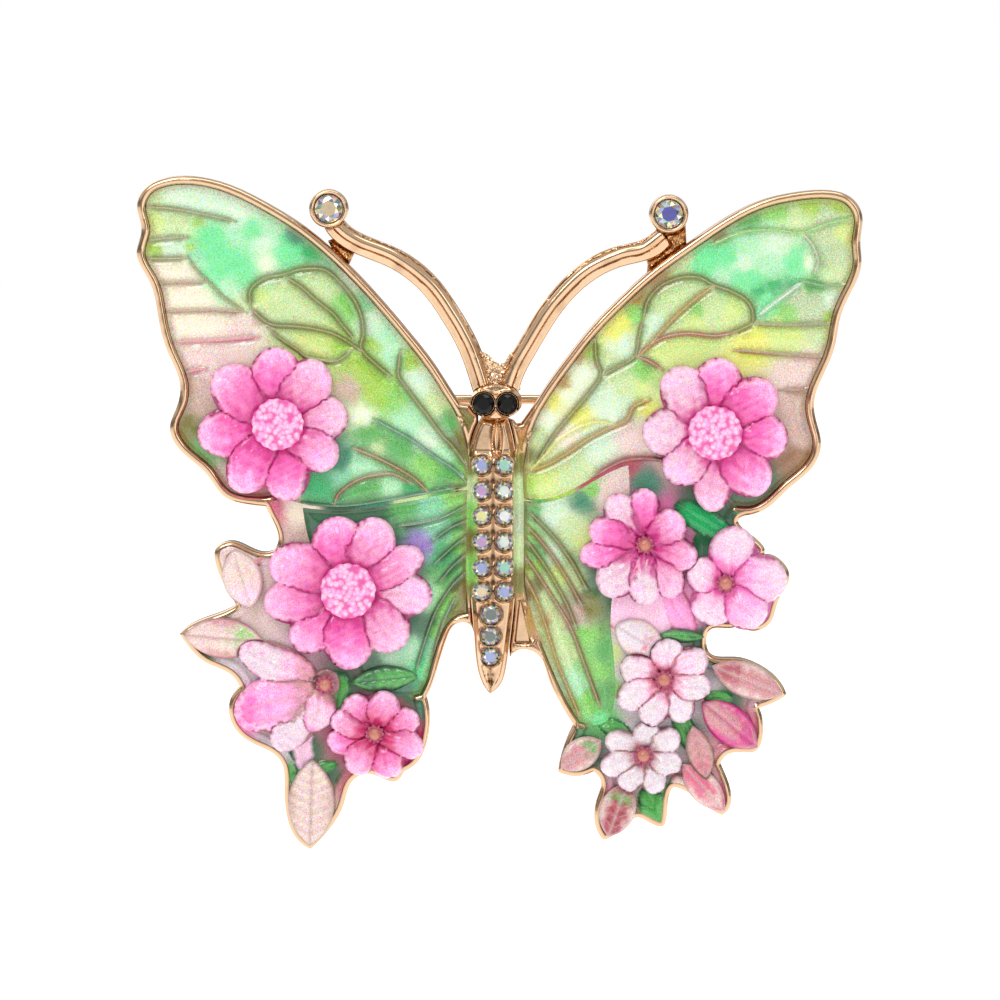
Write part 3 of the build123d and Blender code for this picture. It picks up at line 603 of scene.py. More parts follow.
RIGHT_FORE_DABS = {
    "spring": ((23.5, 15.9, 0.9), (24.2, 7.1, 0.7), (16.8, 7.6, 0.6), (11.6, 7.2, 0.7), (12.1, 2.6, 0.7)),
    "lime": ((26.0, 16.4, 0.9), (28.4, 16.2, 0.8), (27.6, 6.9, 0.5), (8.0, 4.2, 0.6), (2.8, -6.9, 0.6)),
    "sage": ((25.0, 15.2, 0.9), (28.6, 10.6, 1.0), (15.5, 11.9, 0.7), (26.8, 5.2, 0.8), (14.7, 7.7, 1.0),
        (16.4, 9.2, 0.8), (18.0, 7.6, 1.2), (20.4, 6.8, 0.4), (9.6, 3.4, 0.7), (3.6, -3.2, 0.6),
        (10.6, 1.4, 1.1),
        (6.4, -5.4, 1.2), (7.0, -6.3, 0.8)),
    "grey_sage": ((27.8, 15.2, 0.9), (28.2, 12.4, 1.1), (25.4, 8.6, 0.8), (26.4, 7.6, 1.0)),
    "green": ((21.0, 14.9, 0.8), (26.3, 9.5, 0.6)),
    "pale_lime": ((29.2, 13.6, 1.0), (24.0, 5.2, 1.3), (19.8, 7.4, 0.8), (16.6, 6.3, 0.8), (12.0, 0.9, 0.7),
        (14.2, 4.0, 1.0), (16.5, 4.5, 0.9), (4.0, -6.6, 0.9)),
    "olive": ((18.5, 13.6, 0.6), (2.9, -2.6, 0.5), (2.8, -4.4, 0.5), (11.4, -6.2, 0.8)),
    "emerald": ((17.6, 12.4, 0.9), (17.4, 11.3, 0.8), (19.4, 12.0, 0.9), (24.8, 11.6, 1.0), (21.4, 10.2, 0.8),
        (20.4, 10.2, 0.8), (22.8, 8.2, 0.7)),
    "mint": ((21.0, 12.9, 1.0), (22.8, 11.3, 1.0), (19.0, 10.3, 0.7)),
    "mist": ((23.4, 12.9, 1.1), (20.6, 11.4, 0.9), (28.2, 8.2, 0.8), (13.2, 6.2, 0.8), (10.6, 4.6, 0.9),
        (9.0, 0.4, 1.0), (10.6, -0.4, 0.8), (8.6, -3.7, 1.2)),
    "white": ((25.9, 11.6, 0.5), (7.2, 2.0, 0.9), (6.0, 0.4, 0.7), (4.4, -1.6, 0.7)),
    "deep_emerald": ((21.9, 9.2, 0.5), (23.2, 9.6, 0.55), (24.7, 9.7, 0.5)),
    "aqua": ((22.2, 7.4, 0.5),),
    "yellow": ((21.5, 4.8, 1.0), (10.6, 6.4, 0.7), (9.9, 5.7, 0.7), (4.9, 0.2, 0.7), (7.2, -1.3, 0.7),
        (12.6, -0.6, 0.5)),
    "pale_rose": ((26.4, 2.6, 1.2), (24.6, 2.6, 1.0), (11.2, -3.3, 1.0), (12.9, -6.4, 0.9)),
    "mauve": ((26.0, 0.0, 1.0), (25.8, -2.5, 1.2), (14.4, -6.0, 0.8)),
    "brown": ((25.4, -5.0, 1.0),),
    "forest": ((23.0, -8.0, 1.0), (20.6, -8.8, 0.8), (17.5, -7.5, 1.2)),
    "ochre": ((13.4, 10.3, 0.6), (11.4, 8.6, 0.6), (7.0, 4.0, 0.6), (5.6, 1.6, 0.6), (3.3, -0.6, 0.5)),
    "cream": ((5.9, -3.0, 0.7),),
    "crimson": ((9.9, -6.2, 0.5),),
}
RIGHT_HIND_VEINS = (
    (((2.95, -9.35), (4.95, -11.4), (6.4, -13.4), (7.6, -15.6)), "olive", 0.3),
    (((2.7, -10.4), (4.4, -12.4), (6.0, -14.8), (7.2, -17.0)), "brown", 0.26),
    (((2.65, -11.6), (4.2, -13.8), (5.8, -16.6), (6.8, -19.0)), "olive", 0.26),
    (((2.5, -12.9), (4.3, -15.6), (6.2, -18.7), (7.4, -21.8), (8.7, -25.4)), "brown", 0.22),
    (((2.5, -14.6), (3.6, -16.9), (4.5, -19.6), (5.2, -21.8), (7.0, -26.2)), "ochre", 0.2),
)
RIGHT_HIND_DABS = {
    "green": ((3.2, -9.0, 0.7), (3.4, -12.6, 0.6), (9.2, -21.0, 0.8), (9.2, -24.6, 0.8)),
    "mist": ((4.8, -9.6, 1.0), (4.8, -12.4, 0.6)),
    "sage": ((6.2, -10.6, 1.0), (6.6, -14.6, 0.7), (4.6, -16.0, 0.7), (5.0, -18.6, 0.7), (5.8, -21.0, 0.8)),
    "pale_lime": ((7.6, -11.6, 0.8), (5.4, -14.6, 0.5)),
    "teal": ((7.2, -8.4, 0.7),),
    "spring": ((8.0, -7.3, 0.6), (3.0, -11.0, 0.6), (7.4, -19.8, 0.7), (8.2, -22.2, 0.9), (7.8, -25.2, 0.8)),
    "pale_rose": ((9.6, -7.8, 0.9),),
    "lime": ((3.0, -13.6, 0.5),),
    "mauve": ((6.6, -17.8, 0.7),),
    "olive": ((7.8, -17.0, 0.7), (3.2, -15.6, 0.5)),
    "mint": ((6.6, -23.4, 0.8),),
    "ochre": ((4.4, -18.4, 0.4),),
    "emerald": ((8.6, -27.0, 0.7),),
    "forest": ((10.0, -14.0, 2.0),),
}
ENAMELS = {
    "left_forewing_enamel": (LEFT_FORE_VEINS, LEFT_FORE_DABS),
    "left_hindwing_enamel": (LEFT_HIND_VEINS, LEFT_HIND_DABS),
    "right_forewing_enamel": (RIGHT_FORE_VEINS, RIGHT_FORE_DABS),
    "right_hindwing_enamel": (RIGHT_HIND_VEINS, RIGHT_HIND_DABS),
}


def dabbed(points, dabs):
    """Colours of points between dabs of paint. Each colour has its dabs as (x, z, reach).

    Most of a point's colour is its nearest dab's, and the rest blends the dabs over a wider stretch.
    """
    places = np.concatenate([np.array(spots) for spots in dabs.values()])
    colours = np.concatenate([np.tile(linear(colour), (len(spots), 1)) for colour, spots in dabs.items()])
    away = np.linalg.norm(points[:, None] - places[None, :, :2], axis=2) / places[:, 2]
    falloff, near_share = 2.4, 0.72
    near = 1 / (away ** 2 + 0.35) ** falloff
    wide = 1 / (away ** 2 + 2.0) ** falloff
    return (near_share * near @ colours / near.sum(1)[:, None]
            + (1 - near_share) * wide @ colours / wide.sum(1)[:, None])


def vein_lines(veins):
    """Every vein as one dense line of points, with each point's half width and colour."""
    lines, widths, colours = [], [], []
    for points, colour, width in veins:
        line = curve(points)
        taper = np.clip(np.minimum(np.arange(len(line)), np.arange(len(line))[::-1]) / 12, 0.45, 1)
        lines.append(line)
        widths.append(width * taper)
        colours.append(np.tile(linear(colour), (len(line), 1)))
    return np.concatenate(lines), np.concatenate(widths), np.concatenate(colours)


BODY_SIDE = resampled(max(front_loops("cast_frame", BODY_TOP), key=area), 0.05)
OUTER_EDGE = np.concatenate([
    resampled(loop, 0.06) for loop in front_loops("cast_frame", RIM) if area(loop) > 0
])


def inland(points):
    """0 on the gilt rim along the brooch's outer edge, 1 further in."""
    gilt_to, printed_from = 0.95, 1.2
    return smooth(nearest(OUTER_EDGE, points)[0], gilt_to, printed_from)


def shoulder(points, away):
    """How far enamel and casting rise toward the body, between the head and the tail."""
    z = points[:, 1]
    return 0.62 * np.exp(-((away / 0.75) ** 2)) * smooth(-z, 2.2, 5.0) * smooth(z, -18.5, -15.5)


def enamel(node, veins, dabs):
    """One pocket's fill: raised veins between shallow cells, painted by dabs."""
    lines, widths, colours = vein_lines(veins)

    def height(points, distance):
        away, index = nearest(lines, points)
        ridge = 0.17 * np.exp(-((away / 0.12) ** 2)) - 0.07 * np.exp(-(((away - 0.26) / 0.12) ** 2))
        cell = 0.16 * smooth(np.minimum(away, distance), 0.15, 1.1)
        edge = 0.1 * np.exp(-((distance / 0.18) ** 2))
        rise = shoulder(points, nearest(BODY_SIDE, points)[0])
        return RIM - 0.38 + ridge * widths[index] / 0.26 + cell + edge + rise + 0.025 * ripple(points, 1.6)

    def paint(points, distance):
        away, index = nearest(lines, points)
        bent = points + 0.22 * np.stack((ripple(points, 0.7), ripple(points, 0.6, 2.0)), 1)
        ground = dabbed(bent, dabs)
        ground = mix(ground, ground ** 1.5 * 0.8, 0.8 * np.exp(-((away / (widths[index] * 2.6)) ** 2)))
        deep = colours[index] * 0.74 + ground * 0.06
        ground = mix(ground, deep, 0.92 * np.exp(-((away / (widths[index] * 1.1)) ** 2)))
        # Painted shade, with some ochre print: the fill darkens along its edge, where it lies below the gilt
        # rim, most near the brooch's outer edge.
        near_edge = 0.9 - 0.75 * smooth(nearest(OUTER_EDGE, points)[0], 1.3, 2.0)
        margin = np.exp(-((distance / 0.42) ** 2)) * near_edge
        ground = mix(ground, ground * 0.35 + linear("ochre") * 0.28, margin)
        # Partly the gold ridge under the print, partly painted highlight: a pale cream line along each vein's
        # crest.
        glint = linear("cream") * 0.5 + colours[index] * 0.5
        return mix(ground, glint, 0.6 * np.exp(-((away / 0.05) ** 2)))

    mesh = Mesh()
    relief(mesh, front_loops(node, RIM), height, paint, FLOOR, spacing=0.13,
           rows=rows_beside(lines[::2], (0.06, -0.06, 0.13, -0.13, 0.22, -0.22)))
    mesh.piece(node + "_print", ENAMEL, "wing_enamel", node)


for enamel_node, (enamel_veins, enamel_dabs) in ENAMELS.items():
    enamel(enamel_node, enamel_veins, enamel_dabs)


# ---------------------------------------------------------------- gilt casting

LEFT_ANTENNA = (
    (-1.0, 1.0), (-1.6, 2.9), (-2.3, 4.7), (-3.65, 7.1), (-5.5, 9.65), (-8.4, 11.85), (-11.3, 13.05),
    (-12.9, 14.1), (-13.6, 15.2),
)
RIGHT_ANTENNA = (
    (1.1, 1.0), (1.75, 2.8), (2.7, 4.5), (4.8, 7.85), (7.5, 10.6), (10.3, 12.0), (12.3, 12.5), (14.0, 13.7),
)
EJECTOR_MARKS = ((-22.5, 11.0), (-20.0, -3.5), (-9.0, -14.0), (22.5, 10.5), (20.0, -4.0), (9.0, -15.0))
GOLD = np.append(linear("gold"), 1.0)
DEEP_GOLD = np.append(linear("deep_gold"), 1.0)
BRONZE = np.append(linear("bronze"), 1.0)
EYE_PLACES = ((-0.96, -0.2, 0.92), (1.0, -0.2, 0.88))
STONE_PLACES = tuple(
    (x, z, 0.76) for z in (-5.3, -7.4, -9.5, -11.65, -13.8, -15.8) for x in (-1.12, 0.76)
) + ((-0.35, -17.7, 0.85), (-0.4, -19.5, 0.8), (-0.4, -21.2, 0.76))


# Colours of the flower beds, and of the enamel that laps over the body's sides
BED_DABS = {
    "forest": ((-21.6, -9.6, 0.8), (-24.6, -20.6, 0.8), (-15.6, -29.2, 0.8), (-13.6, -31.2, 0.7),
        (-12.6, -24.0, 1.0), (-9.0, -23.0, 1.0), (16.6, -8.6, 0.9), (18.4, -10.4, 1.2), (21.2, -9.4, 1.0),
        (17.2, -19.8, 0.9), (18.8, -21.6, 0.7), (19.4, -25.2, 0.7), (15.8, -27.6, 0.7), (15.0, -32.2, 0.6),
        (7.6, -29.4, 0.9), (-13.0, -8.9, 0.6), (-7.0, -24.5, 0.6)),
    "blush": ((-22.0, -11.4, 0.7), (-17.4, -24.6, 1.2), (10.6, -17.6, 0.8), (13.2, -18.2, 1.0),
        (20.4, -20.2, 1.0)),
    "pale_rose": ((-23.2, -13.6, 1.6), (-21.4, -16.6, 1.0), (-20.6, -18.4, 1.0), (-15.4, -33.4, 1.5),
        (22.4, -22.4, 1.2)),
    "dusty_rose": ((-25.6, -19.2, 1.2), (17.6, -30.6, 1.0)),
    "green": ((-22.8, -19.4, 1.0), (-17.2, -30.9, 0.6), (23.8, -7.6, 0.8), (13.4, -33.6, 0.9),
        (9.2, -26.8, 0.8),
        (3.4, -8.2, 0.6), (-4.0, -7.6, 0.6), (8.6, -27.4, 0.6), (9.9, -8.0, 0.5)),
    "petal_white": ((-21.4, -22.0, 1.2), (-18.6, -29.2, 1.0), (11.6, -20.6, 0.8), (14.0, -23.0, 2.0),
        (12.4, -29.4, 1.6)),
    "pink": ((-21.6, -26.0, 1.2), (16.6, -17.6, 0.8), (20.4, -15.0, 2.0)),
    "mauve": ((-15.0, -36.6, 0.8), (14.5, -5.4, 0.6), (-14.9, -11.0, 0.5)),
    "teal": ((-5.6, -25.4, 0.8), (12.6, -7.0, 0.8), (-10.0, -8.8, 0.6)),
    "magenta": ((-6.0, -30.0, 1.0),),
    "crimson": ((-10.0, -27.6, 2.0),),
    "rose": ((-12.0, -32.2, 0.8), (20.4, -27.6, 1.0), (18.4, -33.2, 0.9), (9.6, -34.4, 1.2),
        (-19.0, -8.9, 0.6)),
    "hot_pink": ((12.4, -12.0, 2.2),),
    "sage": ((6.2, -30.6, 0.7), (-2.3, -7.2, 0.8), (2.3, -7.5, 0.8), (2.3, -12.5, 0.8), (-7.0, -8.2, 0.6),
        (9.9, -18.2, 0.4)),
    "olive": ((-2.6, -3.4, 0.8), (-2.3, -5.4, 0.7), (-2.2, -11.6, 0.8), (-2.5, -16.2, 0.8), (2.3, -5.0, 0.7),
        (2.2, -15.0, 0.8)),
    "spring": ((-2.2, -9.4, 0.8), (-2.2, -13.8, 0.8), (9.8, -24.0, 0.5)),
    "ochre": ((-2.8, -18.0, 0.8), (2.4, -3.6, 0.7), (2.8, -17.0, 0.8)),
    "tan": ((2.3, -2.4, 0.7),),
    "grey_sage": ((2.4, -10.0, 0.9),),
    "lime": ((5.5, -7.9, 0.6),),
    "maroon": ((8.0, -6.6, 0.6), (11.0, -5.2, 0.6)),
    "cream": ((-16.0, -8.7, 0.6),),
    "pale_lime": ((9.9, -21.0, 0.5), (9.8, -10.5, 0.5)),
}


def lap(points, away):
    """Share of enamel colour over the casting beside the body."""
    z = points[:, 1]
    return np.exp(-((away / 0.9) ** 4)) * smooth(-z, 3.0, 4.6) * smooth(z, -17.6, -15.6)


# Petals and leaves in low relief on the beds: start, end, width, and colours at the edge and middle
BED_PETALS = (
    ((11.8, -14.5), (11.0, -20.0), 3.2, "rose", "blush"), ((12.9, -14.5),
    (13.8, -20.4), 2.8, "rose", "blush"),
    ((14.0, -15.0), (16.2, -19.6), 2.6, "rose", "pink"), ((10.6, -15.4), (9.8, -18.8), 2.2, "rose", "blush"),
    ((15.0, -8.6), (19.9, -11.6), 2.2, "forest", "deep_emerald"),
    ((19.8, -9.2), (24.0, -7.4), 1.8, "forest", "green"), ((17.4, -10.6),
    (17.2, -14.2), 2.0, "forest", "forest"),
    ((-22.6, -8.8), (-20.6, -12.6), 1.8, "forest", "green"),
    ((-20.2, -11.4), (-23.4, -15.8), 4.2, "dusty_rose", "pale_rose"),
    ((-17.6, -21.0), (-15.6, -31.4), 2.6, "forest", "blush"),
    ((-12.8, -22.6), (-13.6, -26.6), 2.2, "forest", "green"), ((-9.8, -22.2),
    (-5.2, -24.8), 1.8, "forest", "green"),
    ((-13.2, -30.2), (-17.2, -31.6), 1.4, "forest", "green"),
    ((18.4, -20.8), (22.6, -20.6), 1.6, "dusty_rose", "pale_rose"),
    ((15.0, -25.6), (16.8, -29.4), 1.8, "forest", "green"), ((17.4, -24.6),
    (19.8, -24.9), 1.4, "forest", "green"),
    ((12.4, -32.2), (14.4, -36.0), 2.4, "forest", "green"), ((8.6, -26.6),
    (11.4, -28.0), 1.6, "forest", "green"),
    ((15.4, -31.0), (15.0, -33.6), 1.4, "dusty_rose", "pale_rose"),
)


def bed_relief(points):
    """Height and colours of the beds' low relief."""
    ground = dabbed(points, BED_DABS)
    best = np.full(len(points), -0.14)
    for start, end, width, edge, middle in BED_PETALS:
        along, side = lengthwise(points, start, end, width / 2)
        egg = ((along - 0.5) / 0.52) ** 2 + side ** 2
        height = 0.2 * (1 - np.clip(egg, 0, 1) ** 2) + 0.08 * (1 - egg) - 0.1 * np.exp(-((side / 0.14) ** 2))
        on_top = (egg < 1) & (height + 0.04 > best)
        shade = mix(linear(middle), linear(edge), smooth(egg + 0.25 * ripple(points, 0.7), 0.5, 1.0))
        ground = np.where(on_top[:, None], shade, ground)
        best = np.where(on_top, height, best)
    return best, ground


RIM_WIDTH = 0.36


def rim_height(points, distance):
    """Half-round rim along every edge, then the flat bed under the flowers."""
    across = np.clip(distance / RIM_WIDTH, 0, 1)
    rim = RIM - 0.5 + 0.56 * np.sqrt(1 - (1 - across) ** 2)
    bed = bed_relief(points)[0]
    rim = rim + (bed - 0.06) * smooth(distance, 0.4, 0.6)
    rim = rim + (RIM - 0.28 + np.maximum(bed, -0.02) * smooth(distance, 0.1, 0.5) - rim) * inland(points)
    away = nearest(BODY_SIDE, points)[0]
    covered = RIM - 0.3 + shoulder(points, away)
    return rim + (covered - rim) * lap(points, away) + 0.015 * ripple(points, 1.2)


def rim_paint(points, distance):
    """A gilt rim with painted shade, a dark line at its inner foot, and printed colour beyond."""
    away = nearest(BODY_SIDE, points)[0]
    # Painted shade: a dark line in the crease where the rim's inner foot meets the bed.
    metal = mix(GOLD, BRONZE, 0.7 * np.exp(-(((distance - RIM_WIDTH - 0.04) / 0.06) ** 2)))
    covered = np.maximum(smooth(distance, 0.42, 0.5), lap(points, away))
    covered = np.maximum(covered, inland(points) * smooth(-points[:, 1], 3.5, 4.5))
    return mix(metal, printed(bed_relief(points)[1]), covered)


def antenna_height(points, distance):
    """A flat flange along a round rod, a fine line inside it, and a hammered web at the root."""
    centre = np.concatenate((curve(LEFT_ANTENNA), curve(RIGHT_ANTENNA)[::-1]))
    away, index = nearest(centre, points)
    along = np.gradient(centre, axis=0)[index]
    towards = points - centre[index]
    across = -away * np.sign(along[:, 1] * towards[:, 0] - along[:, 0] * towards[:, 1])
    flange = ANTENNA_TOP - 0.3 - 0.15 * (across - 0.3)
    rod = ANTENNA_TOP - 0.5 + 0.58 * np.sqrt(np.clip(1 - ((across + 0.16) / 0.5) ** 2, 0, 1))
    inner = ANTENNA_TOP - 0.5 + 0.1 * np.exp(-(((across + 0.76) / 0.06) ** 2))
    turned = 1 - np.clip(distance / 0.14, 0, 1)
    shape = np.maximum(rod, np.where(across > 0, flange, inner)) - 0.12 * (1 - np.sqrt(1 - turned ** 2))
    web = ANTENNA_TOP - 0.45 + 0.12 * ripple(points, 0.28)
    blend = smooth(away, 0.85, 1.0) * smooth(5.0 - points[:, 1], 0.0, 0.6)
    return shape * (1 - blend) + web * blend


def cup_height(points, distance):
    across = np.clip(distance / 0.24, 0, 1)
    return CUP_TOP - 0.42 + 0.42 * np.sqrt(1 - (1 - across) ** 2)


def web_height(points, distance):
    return WEB_TOP - 0.35 + 0.3 * smooth(distance, 0.0, 0.25) + 0.14 * ripple(points, 0.34, 1.0)


def distance_to_side(points):
    return nearest(BODY_SIDE, points)[0]


def seat_distance(points):
    """Distance to the edge of the nearest stone seat."""
    x, z = points[:, 0], points[:, 1]
    return np.min([np.abs(np.hypot(x - seat_x, z - seat_z) - r) for seat_x, seat_z, r in STONE_PLACES], axis=0)


def tail_groove(points):
    """A tapering groove below the last stone."""
    x, z = points[:, 0], points[:, 1]
    width = 0.08 + 0.14 * smooth(z, -24.4, -22.4)
    return smooth(-z, 22.0, 22.4) * smooth(z, -24.5, -24.1) * np.exp(-(((x + 0.4) / width) ** 2))


def body_height(points, distance):
    """Flanks that rise from the wings, a ridge between the stones, and a trough down the abdomen."""
    x, z = points[:, 0], points[:, 1]
    tail_share = smooth(-z, 16.5, 19.0)
    side = distance_to_side(points)
    top = RIM + 0.3 - 0.3 * tail_share + (0.55 + 0.3 * tail_share) * smooth(side, 0.0, 0.5)
    top = top + 0.16 * np.exp(-(((seat_distance(points) - 0.11) / 0.07) ** 2))
    middle = np.where(z > -16.8, -0.18, -0.4)
    ridge = 0.16 * np.exp(-(((x - middle) / 0.15) ** 2)) * (0.5 + 0.5 * np.cos((z + 5.3) * 2 * pi / 2.1))
    spindle_width = 0.36 * np.sin(np.clip((z + 5.2) / 4, 0, 1) * pi)
    spindle = 0.4 * np.exp(-(((np.abs(x - 0.12) - spindle_width) / 0.13) ** 2))
    tail = (0.03 * np.sin(z * 9) - 0.26) * tail_groove(points)
    return np.where(z > -4.6, top - 0.35 * smooth(z, -5.0, -4.0) + spindle, top + ridge + tail)


def body_paint(points, distance):
    """Enamel laps over both flanks; metal shows between and below the stones, with painted shade around each
    stone's seat and down the tail's groove.
    """
    x, z = points[:, 0], points[:, 1]
    middle = np.exp(-(((x + 0.18) / 0.16) ** 4)) * smooth(-z, 4.6, 5.2) * smooth(z, -17, -16.4)
    metal = mix(GOLD, BRONZE, 0.8 * middle)
    # Painted shade: a dark ring at the edge of each stone's seat.
    metal = mix(metal, BRONZE, 0.85 * np.exp(-((seat_distance(points) / 0.05) ** 2)))
    # Painted shade: darker down the tail's groove.
    metal = mix(metal, BRONZE, 0.7 * tail_groove(points))
    left = smooth(-x, 1.35, 1.6) * smooth(-z, 4.5, 6.0) * smooth(z, -16.8, -15.6)
    right = smooth(x, 1.4, 1.6) * smooth(-z, 4.2, 5.6) * smooth(z, -16.2, -14.8)
    return mix(metal, printed(dabbed(points, BED_DABS)), np.maximum(left, right))


def head_height(points, distance):
    """A low dome with a raised bezel around each eye."""
    height = HEAD_TOP - 0.8 + 0.42 * smooth(distance, 0.0, 0.45)
    for x, z, radius in EYE_PLACES:
        out = np.hypot(points[:, 0] - x, points[:, 1] - z) - radius
        height = np.maximum(height, HEAD_TOP - 0.42 + 0.4 * np.exp(-(((out - 0.1) / 0.13) ** 2)))
    return height - 0.25 * np.exp(-((distance / 0.08) ** 2))


def antenna_paint(points, distance):
    return mix(GOLD, BRONZE, 0.25 * smooth(ripple(points, 1.5), 0.2, 0.9))


def web_paint(points, distance):
    return mix(DEEP_GOLD, BRONZE, 0.5 * smooth(ripple(points, 0.34, 1.0), -0.6, 0.2))


casting = Mesh()
relief(casting, front_loops("cast_frame", RIM), rim_height, rim_paint, BACK, spacing=0.16,
       rings=(0.03, 0.08, 0.15, 0.24, 0.34, 0.42, 0.5), sink=FLOOR, marks=EJECTOR_MARKS, under=GOLD)
relief(casting, front_loops("cast_frame", ANTENNA_TOP), antenna_height, antenna_paint, ANTENNA_BACK,
       spacing=0.1, rings=(0.04, 0.09, 0.15, 0.22, 0.29, 0.36, 0.43, 0.5, 0.57, 0.64, 0.71, 0.78))
relief(casting, front_loops("cast_frame", CUP_TOP), cup_height, GOLD, ANTENNA_BACK, spacing=0.1,
       rings=(0.03, 0.08, 0.15, 0.22), sink=CUP_TOP - SEAT_DEPTH)
relief(casting, front_loops("cast_frame", WEB_TOP), web_height, web_paint, BACK, spacing=0.1, rings=(0.06,))
relief(casting, front_loops("cast_frame", BODY_TOP), body_height, body_paint, BACK, spacing=0.09,
       rings=(0.04, 0.09, 0.15, 0.22), sink=BODY_TOP - SEAT_DEPTH, under=GOLD)
relief(casting, front_loops("cast_frame", HEAD_TOP), head_height, GOLD, BACK, spacing=0.08,
       rings=(0.05, 0.11), sink=HEAD_TOP - SEAT_DEPTH)
casting.piece("gilt_casting", GILT, "gilt_casting", "cast_frame", sharp=34)


# ---------------------------------------------------------------- flowers

# Each flower: its middle, its petals as (tip x, tip z, width, paleness), and colours from base to tip
FLOWERS = {
    "left_upper_daisy": ((-18.0, -1.9), (
        (-18.3, 4.5, 4.6, 0), (-14.3, 3.2, 4.4, 0.4), (-12.2, -1.2, 4.2, 0.5), (-13.2, -5.2, 4.0, 0.3),
        (-17.0, -8.3, 4.2, 0), (-21.6, -7.4, 4.2, 0), (-24.7, -3.0, 4.4, 0), (-23.2, 2.4, 4.6, 0.1)),
        ("magenta", "hot_pink", "pink")),
    "left_lower_daisy": ((-12.2, -15.7), (
        (-13.5, -9.6, 4.8, 0), (-9.3, -9.8, 4.4, 0.3), (-6.0, -12.6, 3.4, 0.3), (-5.2, -16.2, 4.2, 0.7),
        (-7.6, -20.4, 4.6, 0.4), (-12.2, -22.3, 4.6, 0), (-16.6, -20.6, 4.2, 0.1), (-19.2, -17.0, 4.2, 0.2),
        (-18.6, -12.9, 4.6, 0.2)), ("magenta", "hot_pink", "pink")),
    "right_upper_daisy": ((18.2, -2.6), (
        (18.6, 3.6, 4.6, 0), (14.4, 2.6, 4.4, 0.7), (12.2, -2.6, 4.4, 0.8), (14.4, -6.6, 4.0, 0.7),
        (18.0, -9.2, 3.6, 0.5), (22.3, -7.6, 4.4, 0.1), (24.3, -3.2, 4.4, 0), (23.0, 1.4, 4.4, 0)),
        ("magenta", "hot_pink", "pink")),
    "left_small_flower": ((-10.0, -27.6), (
        (-12.3, -24.6, 3.0, 0.2), (-8.9, -24.1, 3.0, 0.3), (-6.3, -26.3, 2.8, 0.2), (-6.0, -29.0, 2.8, 0.3),
        (-8.4, -31.3, 3.0, 0.1), (-12.0, -30.9, 3.0, 0.3), (-14.0, -28.5, 2.8, 0), (-13.7, -26.3, 2.6, 0.4)),
        ("crimson", "hot_pink", "pink")),
    "left_lily_flower": ((-14.1, -23.5), (
        (-21.3, -20.6, 3.4, 1.0), (-21.6, -26.3, 4.8, 0), (-18.3, -28.9, 3.6, 1.0), (-15.2, -27.4, 3.0, 0.8)),
        ("dusty_rose", "pink", "hot_pink")),
    "right_double_flower": ((12.4, -11.9), (
        (12.3, -7.2, 3.0, 0), (9.5, -7.9, 3.2, 0.8), (7.8, -10.4, 3.0, 0), (7.0, -13.0, 2.8, 0),
        (8.9, -16.0, 3.8, 0.9), (12.4, -17.0, 3.2, 1.0), (15.2, -16.2, 3.2, 0.5), (16.8, -13.2, 3.0, 0.3),
        (15.6, -9.6, 3.4, 0.4)), ("magenta", "hot_pink", "pink")),
    "right_pale_flower": ((19.1, -15.1), (
        (20.2, -10.4, 4.0, 0.8), (24.2, -14.6, 4.2, 0.5), (22.0, -18.6, 3.8, 0.2), (17.2, -18.4, 3.8, 0.8),
        (16.0, -14.0, 3.2, 0.8)), ("hot_pink", "pink", "blush")),
    "right_white_flower": ((14.0, -23.1), (
        (14.6, -19.7, 3.0, 0.6), (17.6, -21.0, 2.8, 0.3), (17.9, -24.0, 2.8, 1.0), (16.0, -26.6, 2.8, 1.0),
        (12.7, -27.0, 2.8, 1.0), (10.2, -25.2, 2.8, 1.0), (10.4, -21.9, 2.8, 0.8)),
        ("rose", "blush", "petal_white")),
    "right_small_flower": ((12.3, -29.4), (
        (12.8, -26.6, 2.4, 1.0), (15.3, -27.6, 2.4, 0.8), (15.5, -30.4, 2.4, 1.0), (13.6, -32.6, 2.4, 0.6),
        (10.7, -32.4, 2.4, 1.0), (8.8, -30.6, 2.4, 0.9), (9.2, -27.9, 2.4, 1.0)),
        ("dusty_rose", "petal_white", "petal_white")),
}
PALE_FLOWERS = ("left_lily_flower", "right_pale_flower", "right_white_flower", "right_small_flower")
# How closely the streaks and grooves of a petal lie
STREAKS = 9.5


